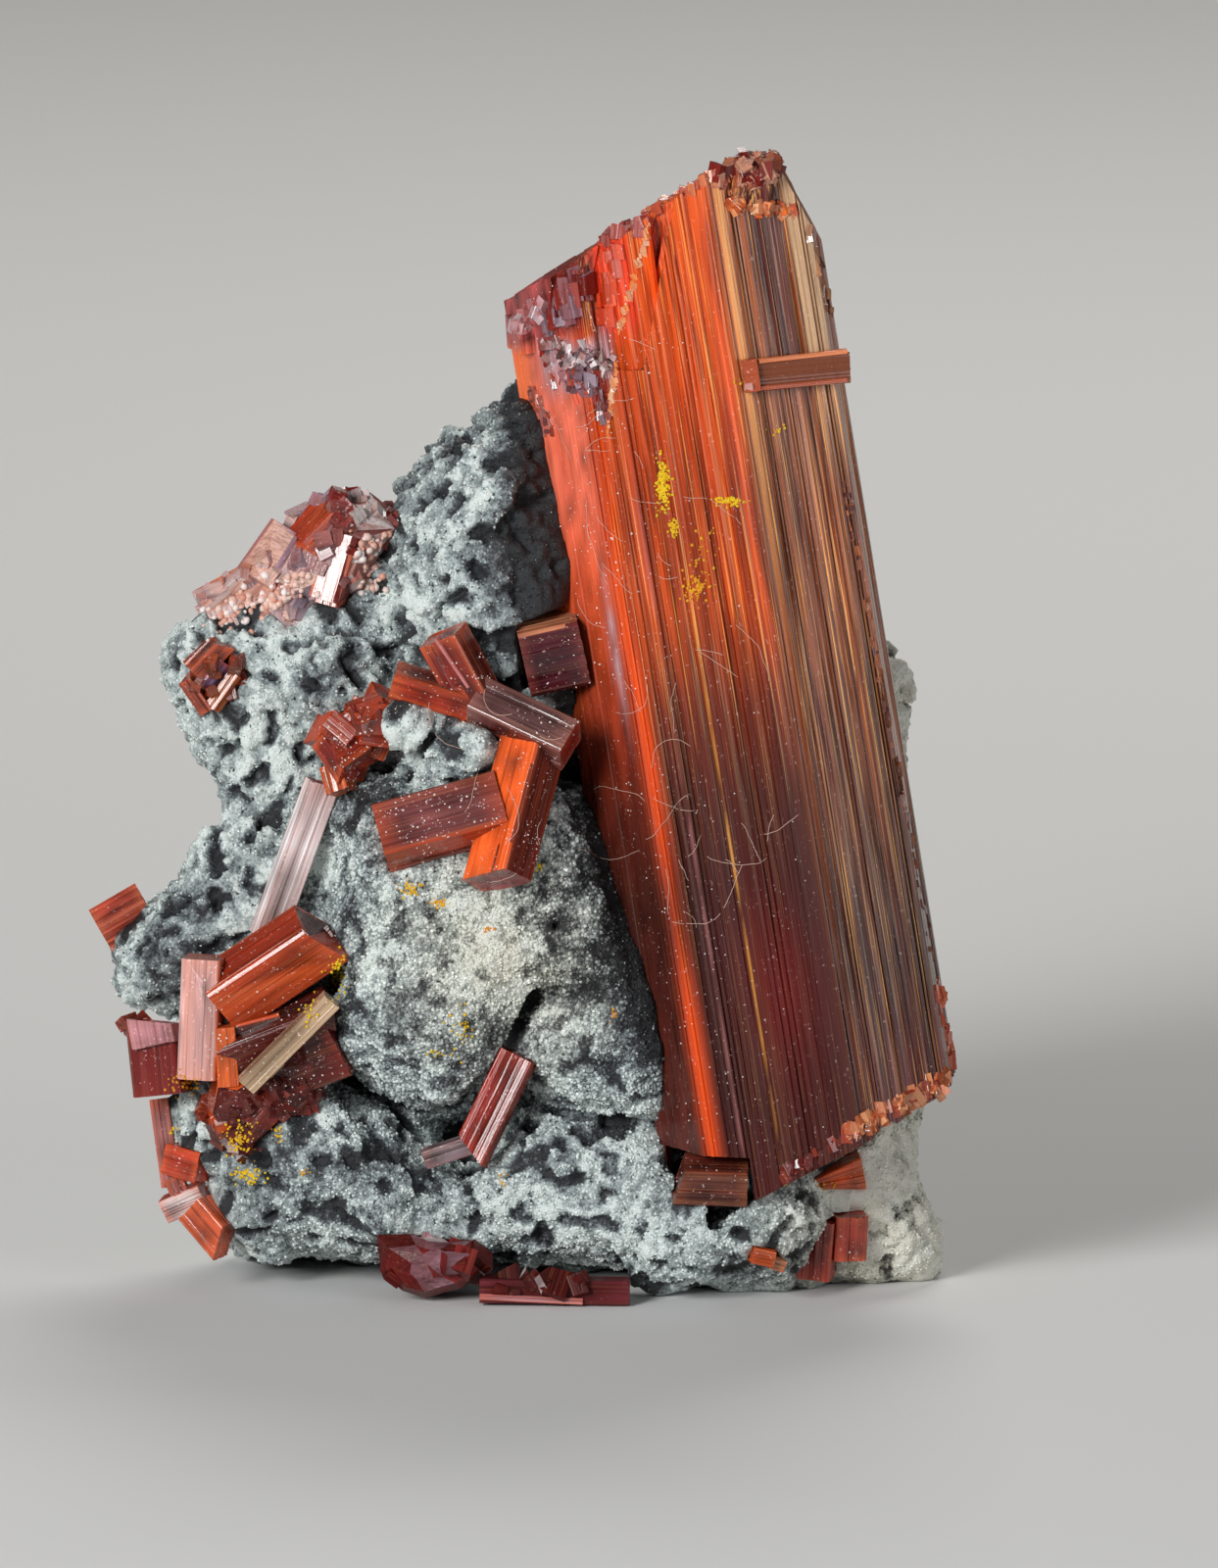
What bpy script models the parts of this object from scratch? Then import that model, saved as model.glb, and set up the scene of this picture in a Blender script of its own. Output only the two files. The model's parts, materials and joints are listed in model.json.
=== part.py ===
"""Realgar on matrix: a striated orange-red prism and smaller crystals on a quartz-coated rock.

The specimen stands on the flat underside of its rock, +Z up, with its display side facing -Y.
Points of the display side are given as they are seen by a viewer who looks down on it by SIGHT:
millimetres across (+X), millimetres up, and millimetres of depth (+Y, away from the viewer).
"""
import math
import random

import bmesh
import bpy
from mathutils import Matrix, Vector, noise

MM = 0.001
SIGHT = math.radians(10)

# Driving dimensions, in millimetres.
# The gap is left between pieces that touch.
GAP = 0.3

# The main crystal runs from its foot to its tip. Its section is given across and through the
# crystal, and the bands are the number of striations on each side of that section.
MAIN_FOOT = (11.7, 2.0, -6.1)
MAIN_TIP = (4.4, 47.0, -2.4)
MAIN_SECTION = [(-6.6, 1.0), (-4.0, -3.3), (2.2, -4.6), (6.3, -3.1), (6.6, 0.4),
                (5.4, 3.4), (0.2, 4.4), (-5.4, 3.6)]
MAIN_BANDS = [4, 15, 11, 4, 4, 6, 6, 3]
STRIATION_DEPTH = 0.16
MAIN_SOCKET_SCALE = (1.05, 1.075)
# Three planes cut the crystal's top and one its foot: a point on each, and the way it faces.
MAIN_END_PLANES = [
    ((5.6, 43.5, -5.0), (-0.53, 0.12, 0.84)),
    ((9.4, 45.4, -5.0), (0.1, 0.14, 0.98)),
    ((10.9, 43.6, -5.0), (0.87, 0.05, 0.48)),
    ((13.6, 5.6, -8.0), (0.49, 0.0, -0.87)),
]
MAIN_SPARE_LENGTH = 3

# A small crystal's corners are cut by this share of its thinner side. A broken crystal is a lump
# with few facets, whose corners lie this far out of line.
CORNER_SHARE = 0.14
BROKEN_FACETS = (11, 7)
BROKEN_UNEVENNESS = 0.45
UNEVENNESS_SPACING = 1.3

# The rock's skin: the size of its voxels, its triangles before it is cut, and its lumps, each
# kind with its spacing and height.
ROCK_VOXEL = 0.4
ROCK_TRIANGLES = 5200
ROCK_FACETS = (56, 24)
ROCK_SWELLS = (4.5, 0.7)
ROCK_KNOBS = (2.1, 0.9)
ROCK_SMALL_LUMPS = (1.1, 0.25)
ROCK_SINK = 0.35
GROUND_SIZE = 200

for leftover in list(bpy.data.objects):
    bpy.data.objects.remove(leftover, do_unlink=True)

specimen = bpy.data.collections.new("realgar_specimen")
cutters = bpy.data.collections.new("cutters")
bpy.context.scene.collection.children.link(specimen)
bpy.context.scene.collection.children.link(cutters)


def seen(across, height, depth):
    """World point, in metres, that shows at (across, height) of the display side at that depth."""
    rise = (height - depth * math.sin(SIGHT)) / math.cos(SIGHT)
    return Vector((across, depth, rise)) * MM


def finish(name, colour, roughness):
    """A plain material of that colour for one piece."""
    material = bpy.data.materials.new(name)
    material.use_nodes = True
    shader = material.node_tree.nodes["Principled BSDF"]
    shader.inputs["Base Color"].default_value = (*colour, 1)
    shader.inputs["Roughness"].default_value = roughness
    shader.inputs["Metallic"].default_value = 0
    material.diffuse_color = (*colour, 1)
    return material


def place(name, mesh, material):
    """An object of its own for one piece of the specimen."""
    obj = bpy.data.objects.new(name, mesh)
    specimen.objects.link(obj)
    mesh.materials.clear()
    mesh.materials.append(material)
    return obj


def place_cutter(name, mesh):
    """An object that only cuts another or is joined to it."""
    obj = bpy.data.objects.new(name, mesh)
    cutters.objects.link(obj)
    obj.hide_render = True
    obj.display_type = "WIRE"
    return obj


def settle(obj):
    """Keep what the modifiers make as the object's own mesh."""
    graph = bpy.context.evaluated_depsgraph_get()
    mesh = bpy.data.meshes.new_from_object(obj.evaluated_get(graph))
    obj.modifiers.clear()
    old = obj.data
    obj.data = mesh
    bpy.data.meshes.remove(old)


def combine(obj, others, operation, solver="EXACT"):
    """Boolean of obj with each of the other objects in turn, which are used up."""
    for other in others:
        boolean = obj.modifiers.new("boolean", "BOOLEAN")
        boolean.operation = operation
        boolean.solver = solver
        boolean.object = other
    settle(obj)
    for other in others:
        bpy.data.objects.remove(other, do_unlink=True)


def keep_largest_body(obj):
    """Drop the crumbs that a cut leaves loose."""
    bm = bmesh.new()
    bm.from_mesh(obj.data)
    unseen = set(bm.verts)
    bodies = []
    while unseen:
        front = [unseen.pop()]
        body = set(front)
        while front:
            vert = front.pop()
            for edge in vert.link_edges:
                other = edge.other_vert(vert)
                if other in unseen:
                    unseen.remove(other)
                    body.add(other)
                    front.append(other)
        bodies.append(body)
    bodies.sort(key=len)
    for body in bodies[:-1]:
        bmesh.ops.delete(bm, geom=list(body), context="VERTS")
    bm.to_mesh(obj.data)
    bm.free()


# ---------------------------------------------------------------- crystals

def lengthwise_frame(foot, tip, roll):
    """Frame at the foot: X across the display side, Y through the crystal, Z along it."""
    along = (tip - foot).normalized()
    through = Vector((0, 1, 0))
    through = (through - along * through.dot(along)).normalized()
    across = through.cross(along)
    frame = Matrix((across, through, along)).transposed().to_4x4()
    frame = frame @ Matrix.Rotation(math.radians(roll), 4, "Z")
    frame.translation = foot
    return frame


def bar(foot, tip, width, thickness, roll=0, foot_slant=0, tip_slant=0, taper=1, grow=0):
    """Prism of flat faces from foot to tip, oblong in section, with its four corners cut.

    A slant is the rise of an end face across the crystal, taper is the foot's share of the tip's
    width, and grow is a gap all round.
    """
    start = seen(*foot)
    end = seen(*tip)
    half_width = (width / 2 + grow) * MM
    half_thickness = (thickness / 2 + grow) * MM
    corner = CORNER_SHARE * min(width, thickness) * MM
    length = (end - start).length
    bm = bmesh.new()
    bmesh.ops.create_cone(bm, cap_ends=True, segments=8, radius1=1, radius2=1, depth=2)
    bmesh.ops.rotate(bm, verts=bm.verts, matrix=Matrix.Rotation(math.radians(22.5), 3, "Z"))
    for vert in bm.verts:
        x, y, end_side = vert.co
        across = math.copysign(half_width - (corner if abs(x) < 0.5 else 0), x)
        through = math.copysign(half_thickness - (corner if abs(y) < 0.5 else 0), y)
        if end_side > 0:
            along = length + grow * MM + tip_slant * across
        else:
            across *= taper
            along = -grow * MM + foot_slant * across
        vert.co = (across, through, along)
    bmesh.ops.transform(bm, matrix=lengthwise_frame(start, end, roll), verts=bm.verts)
    mesh = bpy.data.meshes.new("bar")
    bm.to_mesh(mesh)
    bm.free()
    return mesh


def grown_shape(row, grow=0):
    """A bar, or a broken lump where the row gives an outline."""
    if "outline" in row:
        return lump(**row, facets=BROKEN_FACETS, uneven=BROKEN_UNEVENNESS, grow=grow)
    foot, tip, width, thickness, ends = row
    return bar(foot, tip, width, thickness, **ends, grow=grow)


def grown_together(name, rows, material):
    """One solid of crystals grown into one another, and the sockets that it needs in the rock."""
    solid = place(name, grown_shape(rows[0]), material)
    combine(solid, [place_cutter("limb", grown_shape(row)) for row in rows[1:]], "UNION")
    return solid, [place_cutter("socket", grown_shape(row, GAP)) for row in rows]


def striated_section(rng):
    """The main crystal's section, its sides parted into narrow bands, every other one sunk."""
    points = []
    for index, corner in enumerate(MAIN_SECTION):
        start = Vector(corner)
        end = Vector(MAIN_SECTION[(index + 1) % len(MAIN_SECTION)])
        side = (end - start).normalized()
        inward = Vector((-side.y, side.x))
        bands = MAIN_BANDS[index]
        points.append(start)
        for band in range(1, bands):
            share = (band + rng.uniform(-0.3, 0.3)) / bands
            dip = rng.uniform(0.5, 1) if band % 2 else rng.uniform(0, 0.35)
            points.append(start.lerp(end, share) + inward * dip * STRIATION_DEPTH)
    return points


def trim(bm, point, normal):
    """Cut off all that lies beyond a plane, and close the cut."""
    geometry = bm.verts[:] + bm.edges[:] + bm.faces[:]
    cut = bmesh.ops.bisect_plane(bm, geom=geometry, plane_co=point, plane_no=normal, clear_outer=True)
    rim = [item for item in cut["geom_cut"] if isinstance(item, bmesh.types.BMEdge)]
    bmesh.ops.edgeloop_fill(bm, edges=rim)


def main_prism(section, scale=(1, 1), grow=0):
    """The long prism with its slanting top and its broken, slanting lower end."""
    foot = seen(*MAIN_FOOT)
    tip = seen(*MAIN_TIP)
    length = (tip - foot).length + 2 * MAIN_SPARE_LENGTH * MM
    bm = bmesh.new()
    low = []
    for across, through in section:
        low.append(bm.verts.new(Vector((across * scale[0], through * scale[1], -MAIN_SPARE_LENGTH)) * MM))
    bm.faces.new(low)
    raised = bmesh.ops.extrude_face_region(bm, geom=bm.faces[:])
    high = [item for item in raised["geom"] if isinstance(item, bmesh.types.BMVert)]
    bmesh.ops.translate(bm, verts=high, vec=(0, 0, length))
    bmesh.ops.transform(bm, matrix=lengthwise_frame(foot, tip, 0), verts=bm.verts)
    for point, facing in MAIN_END_PLANES:
        normal = Vector(facing).normalized()
        trim(bm, seen(*point) + normal * grow * MM, normal)
    bmesh.ops.recalc_face_normals(bm, faces=bm.faces)
    mesh = bpy.data.meshes.new("prism")
    bm.to_mesh(mesh)
    bm.free()
    return mesh


def build_main_crystal():
    """The striated prism and all that has grown onto it, and the shape it needs free around it."""
    crystal = place("main_crystal", main_prism(striated_section(random.Random(11))),
                    finish("main_crystal", (0.62, 0.12, 0.02), 0.2))
    # The upper left corner is broken back to lower steps, and the foot's left corner is missing.
    missing = [
        bar((3.9, 44.4, -8.1), (2.4, 36.2, -7.6), 4.4, 5.4, tip_slant=0.3),
        bar((-0.6, 40.8, -3.0), (2.2, 42.6, -3.0), 1.7, 9.0),
        bar((0.6, 37.2, -6.2), (1.4, 35.0, -6.6), 1.2, 1.6, roll=30),
        bar((2.6, 36.8, -7.0), (2.9, 34.8, -7.4), 0.7, 1.8, roll=20),
        bar((9.3, 43.5, -7.9), (8.9, 46.6, -7.7), 2.7, 2.6, foot_slant=0.1),
        bar((7.75, 1.0, -6.0), (7.3, 5.25, -6.0), 3.5, 12.0, tip_slant=-0.1),
        bar((14.6, 24.4, -7.5), (15.0, 22.2, -7.5), 0.8, 1.3, roll=25),
        bar((15.1, 21.0, -7.6), (15.4, 19.4, -7.6), 0.8, 1.3, roll=10),
        bar((14.0, 5.0, -9.6), (14.7, 6.2, -9.4), 1.0, 1.4, roll=30),
        bar((15.6, 6.0, -9.0), (15.9, 7.0, -9.0), 0.9, 1.4, roll=-20),
        bar((16.8, 6.6, -8.4), (17.0, 7.8, -8.4), 0.7, 1.4, roll=30),
    ]
    combine(crystal, [place_cutter("missing", mesh) for mesh in missing], "DIFFERENCE")
    # Steps parallel to the prism, the broken cap, and the small bar grown across the front.
    added = [
        bar((4.6, 36.6, -5.5), (3.9, 42.2, -5.0), 2.2, 2.2, tip_slant=0.6),
        bar((3.2, 37.2, -4.6), (2.6, 41.3, -4.2), 1.1, 2.2, tip_slant=0.6),
        bar((2.3, 37.5, -4.8), (1.9, 40.6, -4.5), 1.1, 2.2, tip_slant=0.6),
        bar((1.1, 37.6, -4.0), (0.8, 39.9, -3.8), 1.4, 2.2, tip_slant=0.6),
        bar((-0.1, 37.5, -2.8), (-0.2, 39.1, -2.8), 1.1, 2.2, roll=15, tip_slant=0.5),
        bar((1.6, 36.2, -5.4), (2.6, 37.6, -5.2), 1.2, 1.4, roll=35),
        bar((8.4, 43.4, -6.2), (8.7, 44.9, -6.2), 1.0, 1.6, roll=30, tip_slant=-0.3),
        bar((9.6, 43.2, -6.0), (9.6, 44.9, -6.0), 0.9, 1.6, roll=-20, tip_slant=0.3),
        bar((8.7, 36.4, -7.7), (12.9, 36.8, -6.3), 1.3, 1.0, foot_slant=0.1),
    ]
    combine(crystal, [place_cutter("added", mesh) for mesh in added], "UNION")
    return place_cutter("main_socket", main_prism(MAIN_SECTION, MAIN_SOCKET_SCALE, GAP))


# ------------------------------------------------------------------- rock

def reach(outline, centre, angle):
    """Distance from the centre to the outline in one direction."""
    ray = Vector((math.cos(angle), math.sin(angle)))
    best = 0
    for index, corner in enumerate(outline):
        start = Vector(corner) - centre
        side = Vector(outline[(index + 1) % len(outline)]) - Vector(corner)
        turn = ray.x * side.y - ray.y * side.x
        if abs(turn) < 1e-9:
            continue
        distance = (start.x * side.y - start.y * side.x) / turn
        share = (start.x * ray.y - start.y * ray.x) / turn
        if distance > 0 and -1e-6 <= share <= 1 + 1e-6:
            best = max(best, distance)
    return best


def lump(outline, centre, middle, front, back, fullness=3.0, facets=ROCK_FACETS, uneven=0, grow=0):
    """A sphere pulled out to an outline of the display side, swelling to the front and the back.

    Few facets make a broken crystal, and many a boulder; uneven moves its corners about, and grow
    is a gap all round.
    """
    bm = bmesh.new()
    bmesh.ops.create_uvsphere(bm, u_segments=facets[0], v_segments=facets[1], radius=1)
    centre = Vector(centre)
    front -= grow
    back += grow
    for vert in bm.verts:
        east, north, pole = vert.co
        share = min(1, math.hypot(east, north))
        angle = math.atan2(north, east)
        radius = (reach(outline, centre, angle) + grow) * share
        swell = (1 - share ** fullness) ** (1 / fullness)
        depth = middle + swell * ((front - middle) if pole > 0 else (back - middle))
        across = centre.x + radius * math.cos(angle)
        height = centre.y + radius * math.sin(angle)
        vert.co = seen(across, height, depth)
        if uneven:
            spot = Vector((across, height, depth)) / UNEVENNESS_SPACING
            for axis in range(3):
                vert.co[axis] += noise.noise(spot + Vector((9, 5, 2)) * axis) * uneven * MM
    bmesh.ops.recalc_face_normals(bm, faces=bm.faces)
    mesh = bpy.data.meshes.new("lump")
    bm.to_mesh(mesh)
    bm.free()
    return mesh


BOULDERS = {
    "upper boulder": dict(
        outline=[(0.4, 37.0), (-0.7, 36.2), (-1.3, 35.0), (-2.7, 34.6), (-3.8, 33.8), (-5.2, 31.8),
                 (-5.9, 29.4), (-6.0, 28.2), (-5.8, 26.2), (-5.2, 24.6), (-4.6, 22.0), (0, 20.0),
                 (3.6, 20.5), (3.4, 28.0), (2.4, 35.5)],
        centre=(-1.6, 28.5), middle=1.5, front=-5.4, back=8.0, fullness=2.6),
    "left shelf": dict(
        outline=[(-14.1, 26.7), (-15.0, 26.0), (-15.3, 25.0), (-14.9, 24.0), (-14.3, 23.0),
                 (-14.3, 21.6), (-13.6, 20.8), (-12.9, 19.8), (-12.6, 18.6), (-12.6, 17.6),
                 (-9.0, 15.0), (-3.0, 16.0), (-2.0, 24.0), (-4.5, 30.5), (-8.4, 28.2), (-10.4, 27.4)],
        centre=(-8.5, 22.5), middle=2.0, front=-2.6, back=7.4),
    "shelf lump": dict(
        outline=[(-9.6, 26.0), (-10.0, 23.6), (-8.4, 21.6), (-5.6, 22.4), (-5.0, 25.6), (-6.6, 27.3)],
        centre=(-7.6, 24.4), middle=-0.5, front=-4.4, back=3.0),
    "left tip": dict(
        outline=[(-12.6, 18.2), (-13.5, 17.4), (-14.4, 16.2), (-15.6, 15.1), (-17.4, 13.4),
                 (-17.2, 12.4), (-16.7, 11.0), (-16.2, 10.4), (-15.2, 10.8), (-14.0, 9.6),
                 (-8.0, 7.0), (-6.0, 13.0), (-8.0, 19.0)],
        centre=(-11.5, 13.6), middle=1.5, front=-4.4, back=5.6),
    "front boulder": dict(
        outline=[(-8.4, 18.6), (-7.0, 20.6), (-2.5, 21.4), (1.0, 20.8), (3.2, 18.5), (4.4, 14.5),
                 (4.8, 11.6), (0.6, 11.2), (-0.5, 9.3), (-1.8, 7.2), (-3.2, 5.7), (-4.8, 6.0),
                 (-6.4, 7.0), (-7.7, 8.0), (-8.1, 11.8), (-8.4, 15.8)],
        centre=(-2.6, 13.8), middle=-1.0, front=-8.8, back=4.0),
    "boulder's right part": dict(
        outline=[(0.4, 11.0), (3.5, 12.8), (5.4, 12.0), (6.4, 8.0), (7.2, 5.2), (5.6, 5.5),
                 (2.4, 6.3), (0.8, 6.4), (-0.2, 7.4), (-0.3, 9.3)],
        centre=(3.0, 8.8), middle=-2.0, front=-7.9, back=3.0),
    "lump beside the bars": dict(
        outline=[(-6.0, 22.6), (-5.6, 23.3), (-4.6, 23.6), (-3.8, 22.9), (-4.0, 21.6), (-5.0, 21.0)],
        centre=(-4.8, 22.3), middle=-4.5, front=-7.0, back=0.0),
    "lump under the bars": dict(
        outline=[(-4.4, 21.9), (-3.4, 22.6), (-1.6, 22.1), (0.4, 22.2), (1.4, 20.5), (-1.2, 19.6),
                 (-3.4, 19.7), (-4.2, 20.6)],
        centre=(-2.0, 21.0), middle=-4.0, front=-7.8, back=0.0),
    "corner rim": dict(
        outline=[(-14.6, 9.0), (-14.9, 7.4), (-14.7, 5.8), (-14.0, 4.6), (-13.0, 3.6), (-10.0, 3.6),
                 (-8.0, 8.0), (-10.0, 11.5)],
        centre=(-12.0, 7.4), middle=-1.5, front=-5.6, back=4.0),
    "left ledge": dict(
        outline=[(-13.2, 4.4), (-12.9, 2.4), (-12.8, 0.9), (-12.2, 0.4), (-11.2, 0.0), (-8.4, 0.5),
                 (-6.6, 0.2), (-4.0, 1.0), (-2.8, 4.4), (-4.2, 5.4), (-7.6, 7.3), (-11.2, 7.0)],
        centre=(-8.0, 3.6), middle=-1.6, front=-7.2, back=4.5),
    "middle ledge": dict(
        outline=[(-5.2, 3.4), (-4.6, 1.9), (-2.2, 0.4), (0.4, -0.2), (2.4, 0.1), (5.6, -0.4), (7.0, -0.8),
                 (9.2, -0.4), (10.4, 2.0), (9.4, 3.6), (7.2, 4.4), (5.6, 5.4), (2.4, 6.3), (-0.4, 6.5),
                 (-1.6, 4.4), (-3.8, 4.4)],
        centre=(2.6, 2.8), middle=-2.6, front=-8.0, back=5.0),
    "right slab": dict(
        outline=[(14.9, 6.4), (15.0, 5.4), (15.8, 4.6), (16.0, 3.6), (17.2, 2.2), (16.8, 0.6),
                 (16.6, -0.4), (12.0, -0.6), (8.0, -1.0), (7.0, 3.0), (9.0, 6.0)],
        centre=(12.4, 2.4), middle=-0.6, front=-5.2, back=5.5),
    "back": dict(
        outline=[(0.0, 34.5), (5.0, 33.0), (10.0, 29.0), (13.0, 26.4), (14.6, 25.9), (15.4, 25.4),
                 (15.8, 24.4), (15.9, 23.0), (15.4, 21.8), (15.0, 16.0), (15.6, 8.0), (16.4, -1.0),
                 (4.0, -3.0), (-9.0, -2.0), (-11.0, 8.0), (-8.0, 20.0), (-5.0, 30.0)],
        centre=(3.5, 14.0), middle=3.6, front=-0.6, back=7.6, fullness=2.4),
    "back knob, high": dict(
        outline=[(-3.0, 32.0), (2.0, 31.0), (6.0, 25.0), (3.0, 17.0), (-4.0, 17.0), (-8.0, 24.0)],
        centre=(-1.0, 24.0), middle=4.6, front=1.0, back=9.4, fullness=2.2),
    "back knob, right": dict(
        outline=[(5.0, 22.0), (11.0, 24.0), (15.0, 18.0), (15.2, 8.0), (12.0, 3.0), (4.0, 4.0), (2.0, 13.0)],
        centre=(8.6, 13.0), middle=4.4, front=1.0, back=9.0, fullness=2.2),
    "back knob, left": dict(
        outline=[(-10.5, 17.0), (-3.0, 18.0), (3.0, 12.0), (2.0, 2.0), (-6.0, 1.4), (-11.0, 6.0)],
        centre=(-4.6, 9.4), middle=4.2, front=0.0, back=8.8, fullness=2.2),
    "foot ledge": dict(
        outline=[(4.4, 4.6), (6.4, 4.4), (9.4, 3.6), (11.4, 3.8), (12.6, 2.0), (11.4, -0.7), (8.0, -1.0),
                 (5.0, -0.8), (3.4, 2.0)],
        centre=(7.8, 1.8), middle=-4.2, front=-9.6, back=1.0, fullness=2.6),
}


def lumpiness(spot, kind, offset):
    """Height of one kind of lump at a spot, about as often down as up."""
    spacing, height = kind
    return noise.noise(spot / spacing + Vector(offset)) * height


def grow_lumps(mesh):
    """Push the surface in and out: broad swells, rounded knobs, and small lumps."""
    normals = [vert.normal.copy() for vert in mesh.vertices]
    for vert, normal in zip(mesh.vertices, normals):
        spot = vert.co / MM
        swell = lumpiness(spot, ROCK_SWELLS, (0, 0, 0))
        knob = abs(lumpiness(spot, ROCK_KNOBS, (7, 3, 1)))
        small = lumpiness(spot, ROCK_SMALL_LUMPS, (1, 9, 4))
        vert.co += normal * (swell + knob + small - ROCK_SINK) * MM


def voxel_skin(obj):
    """One closed skin round all the shapes that run into one another."""
    skin = obj.modifiers.new("skin", "REMESH")
    skin.mode = "VOXEL"
    skin.voxel_size = ROCK_VOXEL * MM
    settle(obj)


def build_matrix(sockets):
    """The rock: boulders run together, sat flat on the ground, with a socket for each crystal."""
    bm = bmesh.new()
    for shape in BOULDERS.values():
        boulder = lump(**shape)
        bm.from_mesh(boulder)
        bpy.data.meshes.remove(boulder)
    mesh = bpy.data.meshes.new("matrix")
    bm.to_mesh(mesh)
    bm.free()
    rock = place("matrix", mesh, finish("matrix", (0.50, 0.52, 0.53), 0.9))
    voxel_skin(rock)
    grow_lumps(rock.data)
    voxel_skin(rock)
    rock.data.calc_loop_triangles()
    fewer = rock.modifiers.new("fewer faces", "DECIMATE")
    fewer.ratio = ROCK_TRIANGLES / len(rock.data.loop_triangles)
    settle(rock)
    ground = place_cutter("ground", bpy.data.meshes.new("ground"))
    bm = bmesh.new()
    bmesh.ops.create_cube(bm, size=GROUND_SIZE * MM)
    bmesh.ops.translate(bm, verts=bm.verts, vec=(0, 0, -GROUND_SIZE / 2 * MM))
    bm.to_mesh(ground.data)
    bm.free()
    # EXACT breaks the rock open when this many sockets run into one another; all are closed.
    combine(rock, [ground] + sockets, "DIFFERENCE", "MANIFOLD")
    keep_largest_body(rock)


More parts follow.
